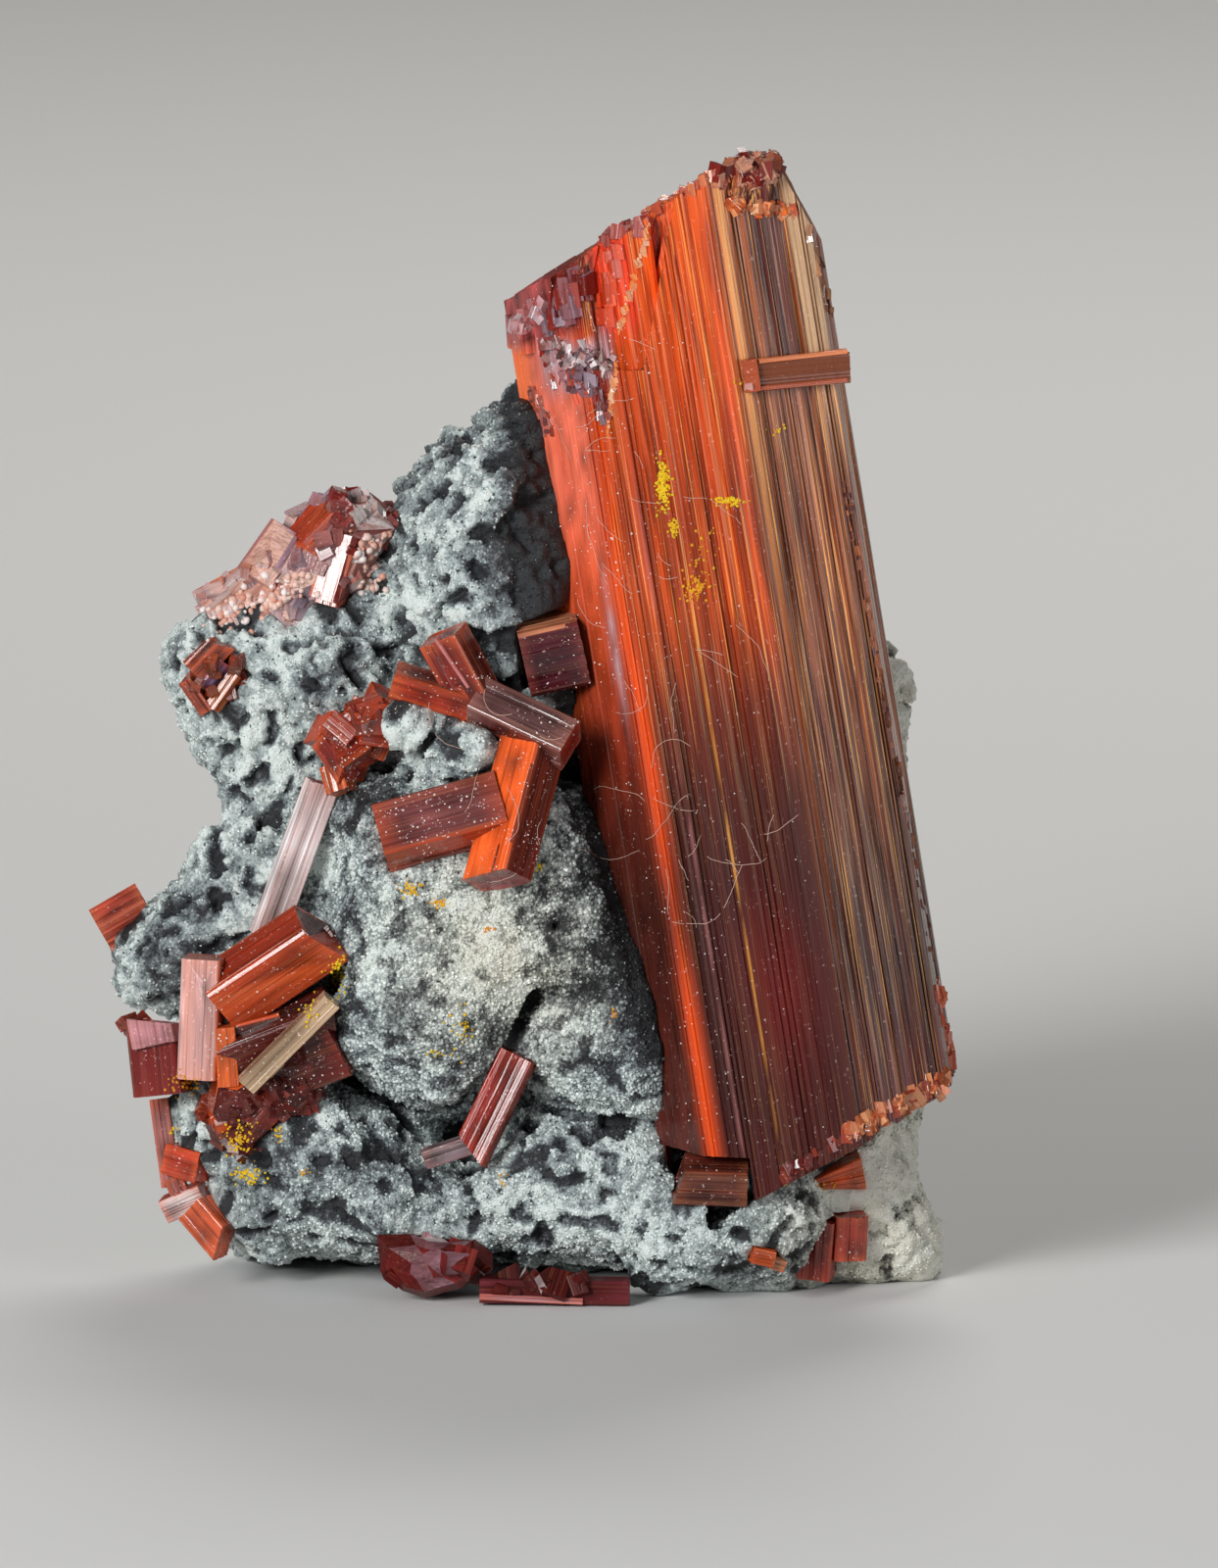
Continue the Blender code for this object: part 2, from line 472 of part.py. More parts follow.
# The smaller crystals, group by group: the colour, and the shapes that have grown together. A bar
# has its foot, tip, width, thickness and ends, and a broken crystal has its outline and depths.
CRYSTAL_GROUPS = {
    "block_crystal": ((0.24, 0.03, 0.03), [
        ((1.0, 23.8, -4.4), (0.8, 26.8, -4.0), 2.5, 2.8, dict(roll=-8, tip_slant=0.33)),
    ]),
    "crossed_crystals": ((0.40, 0.06, 0.02), [
        ((-3.5, 25.9, -6.5), (-1.9, 22.9, -6.3), 1.8, 1.5, dict(roll=25)),
        ((-5.5, 24.1, -6.2), (-2.2, 23.1, -6.3), 1.2, 1.3, dict(roll=20)),
        ((-2.1, 23.2, -6.6), (1.7, 21.4, -8.0), 1.7, 1.7, dict(roll=-35)),
        ((0.2, 21.6, -7.2), (-1.3, 15.9, -9.1), 2.2, 1.8, dict(roll=30, tip_slant=0.35)),
        ((-6.0, 17.6, -8.2), (-1.0, 19.0, -8.0), 2.4, 2.1, dict(roll=-35)),
    ]),
    "rough_crystal": ((0.32, 0.06, 0.05), [
        dict(outline=[(-8.3, 22.2), (-7.8, 22.6), (-6.8, 23.2), (-5.6, 23.6), (-5.4, 21.4), (-6.6, 21.0),
                      (-7.2, 20.4), (-7.9, 19.8), (-8.1, 20.6)],
             centre=(-6.9, 21.9), middle=-4.4, front=-6.6, back=-2.4),
        ((-6.6, 21.4, -5.0), (-5.6, 23.4, -5.3), 1.5, 1.6, dict(roll=15)),
    ]),
    "long_blade": ((0.50, 0.17, 0.14), [
        ((-10.7, 13.6, -4.6), (-8.4, 19.9, -4.4), 1.3, 1.0, dict(roll=15)),
    ]),
    "corner_cluster": ((0.34, 0.05, 0.02), [
        ((-12.6, 11.0, -6.0), (-8.4, 13.8, -6.4), 2.5, 2.2, dict(roll=25, tip_slant=0.3)),
        ((-13.2, 12.8, -6.2), (-13.4, 7.9, -6.4), 1.6, 1.8, dict(roll=10)),
        ((-12.4, 10.0, -6.8), (-12.2, 7.6, -6.8), 0.9, 1.0, {}),
        ((-12.3, 9.6, -6.2), (-10.0, 10.2, -6.4), 0.9, 1.2, {}),
        ((-12.0, 8.2, -5.8), (-7.8, 9.8, -6.6), 3.3, 2.4, dict(roll=15)),
        ((-11.5, 7.6, -7.3), (-8.0, 11.1, -7.5), 0.9, 0.9, dict(roll=10)),
        ((-15.2, 10.0, -5.0), (-14.9, 7.2, -5.4), 2.1, 1.8, dict(roll=15, foot_slant=-0.3)),
        dict(outline=[(-13.4, 6.8), (-13.0, 5.8), (-12.4, 4.6), (-11.8, 4.3), (-11.1, 5.0), (-10.4, 5.6),
                      (-9.4, 6.0), (-8.4, 7.2), (-7.6, 8.0), (-9.0, 8.8), (-11.6, 8.6), (-12.6, 8.2)],
             centre=(-11.0, 6.8), middle=-5.0, front=-7.4, back=-3.4),
    ]),
    "left_foot_crystals": ((0.45, 0.10, 0.07), [
        ((-15.1, 7.0, -3.0), (-14.6, 3.4, -3.6), 0.8, 1.0, {}),
        ((-14.6, 4.6, -3.4), (-13.2, 4.2, -4.2), 1.3, 1.4, {}),
        ((-14.8, 2.5, -4.0), (-13.2, 3.2, -4.4), 1.0, 1.2, {}),
        ((-14.5, 3.8, -3.8), (-14.0, 2.6, -4.0), 0.8, 1.0, {}),
        ((-13.6, 2.6, -4.4), (-12.4, 1.2, -5.0), 1.4, 1.3, {}),
    ]),
    "tip_crystal": ((0.42, 0.12, 0.09), [
        ((-17.5, 13.8, 0.6), (-15.6, 14.9, 0.8), 1.5, 1.8, dict(roll=20)),
    ]),
    "hollow_crystal": ((0.34, 0.14, 0.17), [
        ((-13.5, 23.4, -2.0), (-12.1, 25.0, -1.8), 1.9, 1.5, dict(roll=30)),
    ]),
    "shoulder_crust": ((0.46, 0.13, 0.10), [
        dict(outline=[(-3.8, 33.8), (-4.6, 33.4), (-5.4, 32.5), (-6.2, 31.8), (-7.2, 32.0), (-8.2, 31.6),
                      (-9.2, 31.0), (-10.2, 30.4), (-10.7, 29.0), (-11.7, 28.2), (-12.6, 27.4),
                      (-14.1, 26.8), (-13.4, 26.0), (-10.4, 26.2), (-8.4, 26.8), (-6.4, 27.6),
                      (-5.0, 30.0)],
             centre=(-8.2, 29.0), middle=1.8, front=-1.9, back=5.0, fullness=2.2),
        ((-8.2, 27.3, -1.4), (-7.4, 30.0, -1.0), 1.3, 1.6, dict(roll=-20)),
        ((-9.0, 29.4, -0.6), (-7.2, 31.2, -0.2), 1.8, 2.0, dict(roll=25)),
        ((-11.0, 28.0, -0.4), (-9.6, 30.0, 0.2), 1.8, 2.0, dict(roll=-30)),
        ((-10.6, 26.9, -0.6), (-9.0, 28.6, -0.3), 1.7, 2.0, dict(roll=30)),
        ((-13.2, 26.7, 0.8), (-10.8, 28.0, 1.2), 1.4, 2.6, dict(roll=20)),
    ]),
    "crack_crystals": ((0.36, 0.05, 0.03), [
        ((-0.4, 8.8, -6.9), (-2.3, 4.9, -7.3), 1.5, 1.1, dict(roll=15, tip_slant=-0.5)),
        ((-4.2, 4.6, -6.5), (-2.1, 5.3, -6.8), 0.8, 0.9, {}),
    ]),
    "underside_crystals": ((0.45, 0.12, 0.11), [
        dict(outline=[(-6.7, 0.8), (-6.4, 0.2), (-5.6, -0.5), (-4.4, -1.1), (-3.2, -0.6), (-1.6, -0.8),
                      (-1.2, 0.2), (-2.4, 1.4), (-5.6, 1.5)],
             centre=(-4.0, 0.2), middle=-6.6, front=-8.2, back=-4.2),
        ((-2.0, -0.7, -7.6), (4.1, -0.8, -7.7), 1.0, 1.3, {}),
    ]),
    "foot_block": ((0.22, 0.06, 0.03), [
        ((6.1, 3.8, -8.6), (8.9, 3.7, -8.6), 1.5, 2.2, dict(roll=12, foot_slant=-0.3)),
    ]),
    "wedge_crystal": ((0.55, 0.12, 0.02), [
        ((11.3, 3.7, -5.0), (13.5, 4.2, -4.6), 1.5, 1.6, dict(taper=0.2, roll=10)),
    ]),
    "toe_crystal": ((0.45, 0.10, 0.04), [
        ((11.6, -0.2, -5.0), (11.8, 2.2, -5.2), 1.6, 1.6, dict(roll=-10)),
        ((12.9, 0.6, -4.8), (13.0, 2.4, -5.0), 1.4, 1.6, dict(roll=15)),
    ]),
    "seed_crystals": ((0.50, 0.14, 0.06), [
        ((9.0, 0.8, -8.6), (9.9, 0.6, -8.4), 0.7, 1.2, {}),
        ((9.7, 0.5, -8.2), (10.3, 0.3, -8.0), 0.5, 1.0, {}),
    ]),
}


main_socket = build_main_crystal()
all_sockets = [main_socket]
for group_name, (group_colour, group_rows) in CRYSTAL_GROUPS.items():
    group_finish = finish(group_name, group_colour, 0.25)
    crystal, group_sockets = grown_together(group_name, group_rows, group_finish)
    all_sockets.extend(group_sockets)
    if group_name == "block_crystal":
        combine(crystal, [main_socket.copy()], "DIFFERENCE")
build_matrix(all_sockets)
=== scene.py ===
"""Realgar on matrix: a striated orange-red prism and smaller crystals on a quartz-coated rock."""
import json
import math
import random

import bmesh
import bpy
import numpy as np
from mathutils import Matrix, Vector, noise
from mathutils.bvhtree import BVHTree

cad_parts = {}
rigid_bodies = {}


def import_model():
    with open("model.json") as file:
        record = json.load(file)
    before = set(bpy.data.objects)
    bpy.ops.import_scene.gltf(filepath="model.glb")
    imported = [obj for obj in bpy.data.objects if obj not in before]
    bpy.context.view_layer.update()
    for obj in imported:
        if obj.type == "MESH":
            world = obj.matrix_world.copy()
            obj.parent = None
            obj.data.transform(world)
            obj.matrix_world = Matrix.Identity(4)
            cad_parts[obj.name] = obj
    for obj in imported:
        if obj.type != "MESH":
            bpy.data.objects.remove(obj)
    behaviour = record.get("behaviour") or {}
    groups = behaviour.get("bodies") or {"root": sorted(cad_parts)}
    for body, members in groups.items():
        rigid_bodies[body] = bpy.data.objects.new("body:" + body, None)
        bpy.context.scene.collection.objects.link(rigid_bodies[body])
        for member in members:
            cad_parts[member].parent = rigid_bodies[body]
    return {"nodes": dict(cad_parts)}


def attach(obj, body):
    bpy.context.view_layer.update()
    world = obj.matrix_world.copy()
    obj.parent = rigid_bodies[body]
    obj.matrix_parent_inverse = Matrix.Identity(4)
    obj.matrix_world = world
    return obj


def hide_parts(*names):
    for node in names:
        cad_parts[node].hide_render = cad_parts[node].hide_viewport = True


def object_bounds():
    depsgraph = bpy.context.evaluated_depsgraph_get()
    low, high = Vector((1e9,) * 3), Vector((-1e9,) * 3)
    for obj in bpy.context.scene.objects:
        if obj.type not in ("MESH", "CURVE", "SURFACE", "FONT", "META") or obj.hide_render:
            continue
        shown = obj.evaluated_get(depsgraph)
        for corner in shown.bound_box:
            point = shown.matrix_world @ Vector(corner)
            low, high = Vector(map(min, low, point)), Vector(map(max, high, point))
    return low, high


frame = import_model()
cad_low, cad_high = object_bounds()


# ------------------------------------------------------------------------------ rock skin
# The rock is an altered volcanic stone that a crust of fine quartz has grown over. Its boulders
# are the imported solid's, remeshed; the crust's knobs, pits and cracks are pushed into the skin,
# and where a crystal grows out the skin is drawn up against the crystal.

# Lengths are in millimetres up to the studio, and one is this many metres.
MM = 0.001
# The display side faces -Y, and is looked at from this far above the horizon.
SIGHT = math.radians(10)
# The skin's voxels, the gap that it keeps to a crystal, how far off it is drawn up to the crystal
# in full, and over how much more that fades.
ROCK_VOXEL = 0.165
CONTACT = 0.02
CONTACT_REACH = 0.42
CONTACT_FADE = 0.25
ROCK_PIECES = 3


def seen(across, height, depth):
    """Point in mm that shows at (across, height) of the display side at that depth."""
    rise = (height - depth * math.sin(SIGHT)) / math.cos(SIGHT)
    return Vector((across, depth, rise))


def display_place(spot):
    """Where a point in mm shows on the display side: (across, height)."""
    return spot.x, spot.z * math.cos(SIGHT) + spot.y * math.sin(SIGHT)


def left_edge(height, lean):
    """How far across the main crystal's left edge stands at a height, leaning so much a mm."""
    return (37.7 - height) * lean


def ramp(value, low, high):
    """0 below low, 1 above high, smooth between."""
    share = min(1, max(0, (value - low) / (high - low)))
    return share * share * (3 - 2 * share)


def add_object(name, data):
    obj = bpy.data.objects.new(name, data)
    bpy.context.scene.collection.objects.link(obj)
    return obj


def settle(obj):
    """Keep what the modifiers make as the object's own mesh."""
    graph = bpy.context.evaluated_depsgraph_get()
    mesh = bpy.data.meshes.new_from_object(obj.evaluated_get(graph))
    obj.modifiers.clear()
    old = obj.data
    obj.data = mesh
    bpy.data.meshes.remove(old)


def mesh_of(bm, name):
    """The mesh of a bmesh, which is used up."""
    mesh = bpy.data.meshes.new(name)
    bm.to_mesh(mesh)
    bm.free()
    return mesh


def merged_copy(node, name):
    """A CAD node's mesh with its loose triangles joined."""
    bm = bmesh.new()
    bm.from_mesh(frame["nodes"][node].data)
    bmesh.ops.remove_doubles(bm, verts=bm.verts, dist=1e-6)
    return add_object(name, mesh_of(bm, name))


def normals_of(mesh):
    """The normals of a mesh's vertices, a row for each."""
    normals = np.empty(len(mesh.vertices) * 3, np.float32)
    mesh.vertex_normals.foreach_get("vector", normals)
    return normals.reshape(-1, 3)


def paint_values(mesh, name, values):
    """A named value painted on each vertex."""
    mesh.attributes.new(name, "FLOAT", "POINT").data.foreach_set("value", values)


def painted_values(mesh, name):
    values = np.empty(len(mesh.vertices), np.float32)
    mesh.attributes[name].data.foreach_get("value", values)
    return values


def tree_of(names):
    """One search tree over the solids of these nodes."""
    corners = []
    faces = []
    for name in names:
        mesh = frame["nodes"][name].data
        start = len(corners)
        corners.extend(vert.co.copy() for vert in mesh.vertices)
        faces.extend([start + index for index in face.vertices] for face in mesh.polygons)
    return BVHTree.FromPolygons(corners, faces)


# The solids of the crystals, which the skin is drawn up to.
crystal_tree = tree_of([name for name in frame["nodes"] if name != "matrix"])

# Cracks of the display side as (across, height) points, each with its half width and depth.
CRACKS = [
    ([(-7.8, 8.1), (-6.6, 7.2), (-5.3, 6.5), (-4.3, 5.4)], 0.16, 1.1),
    ([(0.3, 11.2), (-0.2, 10.2), (-0.6, 9.3)], 0.2, 1.1),
    ([(-0.5, 6.8), (1.2, 6.5), (3.4, 6.1), (5.6, 5.7)], 0.13, 0.8),
    ([(-12.2, 4.6), (-10.6, 5.6), (-9.2, 6.2)], 0.15, 0.7),
]
# Pits of the display side: (across, height), radius and depth.
PITS = [((1.2, 14.1), 0.22, 0.6), ((-0.1, 21.4), 0.25, 0.5), ((-3.9, 9.3), 0.15, 0.3)]
# Rounded lumps that stand out of the display side: (across, height), radius and rise.
LUMPS = [((-4.9, 22.5), 1.15, 0.75), ((-2.7, 21.2), 1.7, 0.8), ((-5.1, 20.7), 0.5, 0.5)]
# Where the crust is painted paler or darker than elsewhere: (across, height), radius and change. The dark
# spots next to and under the crystals, in the gap below the block crystal and on the right of the upper
# boulder are painted shade, the pale one on the ledge right of the main crystal's foot is painted light,
# and the others mostly set the crust's own tone.
PAINTED_LIGHT_AND_TONE_SPOTS = [
    ((-2.0, 12.5), 5.5, 0.12), ((15.5, 3.0), 4.5, 0.9), ((15.8, 24.0), 3.5, 1.1),
    ((2.5, 2.5), 4.0, 0.2), ((-8.8, 16.5), 1.6, 0.5), ((-4.9, 22.5), 1.3, 0.15),
    ((-2.7, 21.2), 1.8, 0.15), ((-5.3, 27.0), 1.3, 0.35), ((-0.3, 29.0), 3.2, -0.6),
    ((-6.0, 19.2), 1.5, -0.5), ((-8.6, 24.2), 1.4, -0.3), ((-14.5, 12.5), 2.2, -0.3),
    ((-7.0, 5.2), 2.0, -0.25), ((1.0, 16.0), 2.2, -0.3), ((-12.8, 24.6), 1.5, -0.3),
    ((4.5, 9.0), 2.0, 0.2), ((-1.5, 33.5), 2.5, -0.1), ((-3.6, 24.8), 1.6, -0.3),
    ((-11.0, 21.0), 2.4, 0.25), ((0.5, 20.0), 1.5, -0.6), ((1.6, 12.2), 2.0, -0.5),
    ((-5.5, 33.0), 3.0, -0.2),
]


def crack_depth(across, height):
    """How deep the cracks and pits go at a place of the display side."""
    depth = 0
    for points, half_width, deep in CRACKS:
        for start, end in zip(points, points[1:]):
            run = (end[0] - start[0], end[1] - start[1])
            share = (across - start[0]) * run[0] + (height - start[1]) * run[1]
            share = min(1, max(0, share / (run[0] ** 2 + run[1] ** 2)))
            off = math.hypot(across - start[0] - run[0] * share, height - start[1] - run[1] * share)
            depth = max(depth, deep * (1 - ramp(off, half_width * 0.5, half_width * 1.6)))
    for middle, radius, deep in PITS:
        off = math.hypot(across - middle[0], height - middle[1])
        depth = max(depth, deep * (1 - ramp(off, radius * 0.5, radius * 1.2)))
    return depth


def shape_at(spot, across, height):
    """How coarse the crust is at a spot in mm, its knobs, beads and swells, and its hollows."""
    # The upper left of the rock and its back carry coarse knobs, the front boulder fine sugar.
    knobbly = max(ramp(height, 17, 21), ramp(-across, 8.5, 11)) * 0.85 + 0.15
    knobbly = max(knobbly, 0.6 * (1 - ramp(height, 5.5, 8)), 0.75 * ramp(spot.y, 0, 3))
    # Knobs are warped cells, and beads are smaller cells on them.
    warp = Vector((noise.noise(spot / 1.6), noise.noise(spot / 1.6 + Vector((5, 0, 0))), 0)) * 0.6
    far = noise.voronoi((spot + warp) / 0.78)[0]
    dome = 1 - min(1, far[0] * 1.3) ** 2
    near = noise.voronoi((spot + warp * 0.3) / 0.46 + Vector((3, 3, 3)))[0]
    bead = 1 - min(1, near[0] * 1.3) ** 2
    swell = noise.noise(spot / 1.9 + Vector((4, 1, 7)))
    hollow = noise.noise(spot / 0.95 + Vector((2, 8, 5))) + 0.35 * noise.noise(spot / 0.4)
    hollow = ramp(hollow + 0.06 * knobbly, 0.18, 0.42) * (0.4 + 0.6 * knobbly)
    return knobbly, dome, bead, swell, hollow


def push_at(relief, normal, across, height):
    """How far in mm the crust stands out of the rock, before its cracks."""
    knobbly, dome, bead, swell, hollow = relief
    push = knobbly * (0.26 * dome - 0.2 + 0.24 * bead) + 0.05 * bead - 0.09 + 0.16 * swell
    push -= hollow * (0.06 + 0.42 * knobbly)
    for middle, radius, rise in LUMPS:
        off = math.hypot(across - middle[0], height - middle[1])
        push += rise * (1 - ramp(off, radius * 0.55, radius)) * ramp(-normal.y, 0.1, 0.5)
    return push


def tone_at(relief, crack, spot, normal, across, height):
    """How pale the crust is, with painted shade and light in it: 0 is middling, below it darker."""
    knobbly, dome, bead, swell, hollow = relief
    # Next to the main crystal, and so on the right side of the upper boulder, the rock is darkened as
    # painted shade.
    edge = 0.1 + left_edge(height, 0.204) - across
    crevice_shade = (1 - ramp(edge, 0.4, 3.4)) * ramp(edge, -1.5, 0)
    crevice_shade *= ramp(height, 7, 10)
    crevice_shade *= ramp(-normal.y, -0.4, 0.1)
    blotch = noise.noise(spot / 3.1 + Vector((9, 2, 4)))
    # Painted shade and light: darker in hollows, cracks and pits, paler on the tops of knobs and beads.
    tone = 0.18 + 0.3 * dome * knobbly + 0.3 * bead - hollow - 0.6 * crack + 0.2 * swell
    tone += 0.45 * blotch - 1.15 * crevice_shade
    # Spots of painted shade and light, and of the crust's own tone.
    for middle, radius, change in PAINTED_LIGHT_AND_TONE_SPOTS:
        off = math.hypot(across - middle[0], height - middle[1])
        tone += change * (1 - ramp(off, radius * 0.4, radius)) * ramp(-normal.y, -0.2, 0.3)
    return tone


def make_rock_skin():
    """The skin, its paleness with painted shade and light, warmth, coarseness and open ground painted on
    it.
    """
    rock = merged_copy("matrix", "rock_skin")
    skin = rock.modifiers.new("skin", "REMESH")
    skin.mode = "VOXEL"
    skin.voxel_size = ROCK_VOXEL * MM
    soften = rock.modifiers.new("soften", "SMOOTH")
    soften.factor = 0.5
    soften.iterations = 6
    settle(rock)
    mesh = rock.data
    count = len(mesh.vertices)
    normals = normals_of(mesh)
    layers = {name: np.zeros(count, np.float32) for name in ("pale", "warm", "open_ground", "coarse")}
    for index, vert in enumerate(mesh.vertices):
        spot = vert.co / MM
        normal = Vector(normals[index])
        across, height = display_place(spot)
        relief = shape_at(spot, across, height)
        crack = crack_depth(across, height) * ramp(-normal.y, 0.0, 0.4)
        push = push_at(relief, normal, across, height) - crack
        place, _, _, distance = crystal_tree.find_nearest(vert.co)
        # Close to a crystal the skin is drawn up to it, and near the floor it isn't pushed.
        grip = 1 - ramp(distance / MM, CONTACT_REACH, CONTACT_REACH + CONTACT_FADE)
        grounded = 1 - ramp(spot.z, 0.15, 0.7)
        push *= (1 - grip) * (1 - grounded)
        moved = spot + normal * push
        if grip > 0:
            outward = (vert.co - place).normalized()
            moved = moved.lerp(place / MM + outward * CONTACT, grip)
        vert.co = moved * MM
        # Iron has warmed the right end and the middle of the front boulder.
        sunny = max(0, 1 - math.hypot(across + 1, height - 13) / 6.5)
        layers["pale"][index] = tone_at(relief, crack, spot, normal, across, height)
        layers["warm"][index] = 0.12 + 0.75 * ramp(across, 8, 14) + 0.7 * sunny
        layers["coarse"][index] = relief[0]
        bare = (1 - grip) * (1 - grounded) * (1 - 0.75 * relief[-1])
        layers["open_ground"][index] = bare * (1 - min(1, crack * 2))
    for name, values in layers.items():
        paint_values(mesh, name, values)
    corners = np.empty(count * 3, np.float32)
    mesh.vertices.foreach_get("co", corners)
    # The skin keeps this far inside the solids' box, except at the floor.
    rim = 0.05 * MM
    corners = np.clip(corners.reshape(-1, 3), np.array(cad_low) + (rim, rim, 0), np.array(cad_high) - rim)
    mesh.vertices.foreach_set("co", corners.ravel())
    mesh.update()
    mesh.shade_smooth()
    return rock


rock = make_rock_skin()


def new_material(name):
    """A node material: its tree and its Principled shader."""
    material = bpy.data.materials.new(name)
    material.use_nodes = True
    return material, material.node_tree, material.node_tree.nodes["Principled BSDF"]


def plain_material(name, colour, roughness, level):
    """One (r, g, b) colour all over, with its roughness and its level of reflection."""
    material, _, shader = new_material(name)
    shader.inputs["Base Color"].default_value = (*colour, 1)
    shader.inputs["Roughness"].default_value = roughness
    shader.inputs["Specular IOR Level"].default_value = level
    return material


def link(tree, out_socket, in_socket):
    tree.links.new(out_socket, in_socket)


def feed(tree, value, socket):
    """Give a socket a number, an (r, g, b) colour or what another socket gives."""
    if isinstance(value, (int, float)):
        socket.default_value = value
    elif isinstance(value, tuple):
        socket.default_value = (*value, 1)
    else:
        link(tree, value, socket)


def noise_node(tree, vector, scale, detail, roughness):
    """Noise over a vector, its value between 0 and 1."""
    node = tree.nodes.new("ShaderNodeTexNoise")
    node.inputs["Scale"].default_value = scale
    node.inputs["Detail"].default_value = detail
    node.inputs["Roughness"].default_value = roughness
    link(tree, vector, node.inputs["Vector"])
    return node.outputs["Fac"]


def attribute_node(tree, name, output="Fac"):
    node = tree.nodes.new("ShaderNodeAttribute")
    node.attribute_name = name
    return node.outputs[output]


def math_node(tree, operation, *values, clamp=False):
    """A sum, product or the like of values, each a socket or a number."""
    node = tree.nodes.new("ShaderNodeMath")
    node.operation = operation
    node.use_clamp = clamp
    for socket, value in zip(node.inputs, values):
        feed(tree, value, socket)
    return node.outputs["Value"]


def centred(tree, value, factor):
    """How far a value between 0 and 1 is off the middle, times a factor."""
    return math_node(tree, "MULTIPLY", math_node(tree, "SUBTRACT", value, 0.5), factor)


def colour_ramp(tree, value, stops):
    """Colours over a value, given as (place, (r, g, b)) stops."""
    node = tree.nodes.new("ShaderNodeValToRGB")
    band = node.color_ramp
    while len(band.elements) < len(stops):
        band.elements.new(0.5)
    for element, (place, colour) in zip(band.elements, stops):
        element.position = place
        element.color = (*colour, 1)
    link(tree, value, node.inputs["Fac"])
    return node.outputs["Color"]


def mix_colour(tree, share, first, second, blend="MIX"):
    """Mix of two colours, each a socket or (r, g, b)."""
    node = tree.nodes.new("ShaderNodeMix")
    node.data_type = "RGBA"
    node.blend_type = blend
    node.clamp_result = True
    feed(tree, share, node.inputs["Factor"])
    feed(tree, first, node.inputs[6])
    feed(tree, second, node.inputs[7])
    return node.outputs[2]


def object_spot(tree):
    """Object coordinates in millimetres."""
    coordinates = tree.nodes.new("ShaderNodeTexCoord")
    mapping = tree.nodes.new("ShaderNodeMapping")
    mapping.inputs["Scale"].default_value = (1 / MM, 1 / MM, 1 / MM)
    link(tree, coordinates.outputs["Object"], mapping.inputs["Vector"])
    return mapping.outputs["Vector"]


def bump(tree, shader, height, distance, strength):
    """Relief of up to a distance in mm in the shader's normals."""
    node = tree.nodes.new("ShaderNodeBump")
    node.inputs["Distance"].default_value = distance * MM
    node.inputs["Strength"].default_value = strength
    link(tree, height, node.inputs["Height"])
    link(tree, node.outputs["Normal"], shader.inputs["Normal"])


# What brings the tones of the skin and of the grains on it to the crust's middle grey.
SKIN_LIFT = 0.25
GRAIN_LIFT = 0.29
# Quartz from dark to pale, bluish and warm, as (tone, colour).
QUARTZ_TONES = [(0.0, (0.018, 0.02, 0.023)), (0.3, (0.085, 0.10, 0.11)), (0.55, (0.25, 0.30, 0.31)),
                (0.8, (0.45, 0.53, 0.53)), (1.0, (0.74, 0.82, 0.80))]
WARM_TONES = [(0.0, (0.022, 0.02, 0.018)), (0.3, (0.13, 0.12, 0.10)), (0.55, (0.30, 0.29, 0.235)),
              (0.8, (0.52, 0.51, 0.41)), (1.0, (0.76, 0.74, 0.64))]


def quartz_colour(tree, tone, spot):
    """Quartz colour over a tone: bluish, or warm where the iron-stained crust is."""
    blotch = noise_node(tree, spot, 0.7, 3, 0.6)
    warmth = math_node(tree, "MULTIPLY", attribute_node(tree, "warm"), math_node(tree, "ADD", blotch, 0.4))
    warmth = math_node(tree, "MULTIPLY", warmth, 1.2, clamp=True)
    cool = colour_ramp(tree, tone, QUARTZ_TONES)
    return mix_colour(tree, warmth, cool, colour_ramp(tree, tone, WARM_TONES))


def crust_tone(tree, tone, spot, lift):
    """A fine tone plus the crust's patches, the skin's paleness with its painted light and shade, and a
    lift.
    """
    tone = math_node(tree, "ADD", tone, centred(tree, noise_node(tree, spot, 1.6, 4, 0.65), 1.6))
    tone = math_node(tree, "ADD", tone, attribute_node(tree, "pale"))
    return math_node(tree, "ADD", tone, lift, clamp=True)


def rock_skin_material():
    """Fine peppery quartz with dark dots between its crystals."""
    material, tree, shader = new_material("quartz_crust")
    spot = object_spot(tree)
    pepper = centred(tree, noise_node(tree, spot, 7, 3, 0.75), 2.3)
    smoothing = math_node(tree, "MULTIPLY", attribute_node(tree, "coarse"), 0.45)
    tone = math_node(tree, "MULTIPLY", pepper, math_node(tree, "SUBTRACT", 1, smoothing))
    dots = colour_ramp(tree, noise_node(tree, spot, 4.2, 2, 0.6), [(0.30, (1, 1, 1)), (0.37, (0, 0, 0))])
    tone = math_node(tree, "SUBTRACT", tone, math_node(tree, "MULTIPLY", dots, 0.8))
    tone = crust_tone(tree, tone, spot, SKIN_LIFT)
    link(tree, quartz_colour(tree, tone, spot), shader.inputs["Base Color"])
    shader.inputs["Roughness"].default_value = 0.55
    shader.inputs["IOR"].default_value = 1.5
    bump(tree, shader, noise_node(tree, spot, 6, 4, 0.7), 0.12, 0.9)
    return material


def cover_with(obj, material):
    """The piece's one material."""
    obj.data.materials.clear()
    obj.data.materials.append(material)


def finish_piece(obj, slot, *nodes):
    """The piece rides on the one body and hides the nodes that it replaces; its slot is not used."""
    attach(obj, "root")
    if nodes:
        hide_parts(*nodes)


cover_with(rock, rock_skin_material())


# ------------------------------------------------------------------------------ quartz grains
# The crust is sugary: tiny stubby quartz crystals, pale and a little glassy, packed over the
# skin. One six-sided double pyramid is scattered at random and half sunk in the skin.

GRAIN_BATCHES = 4
GRAINS_PER_BATCH = 15500
GRAIN_SIZES = (0.035, 0.095)
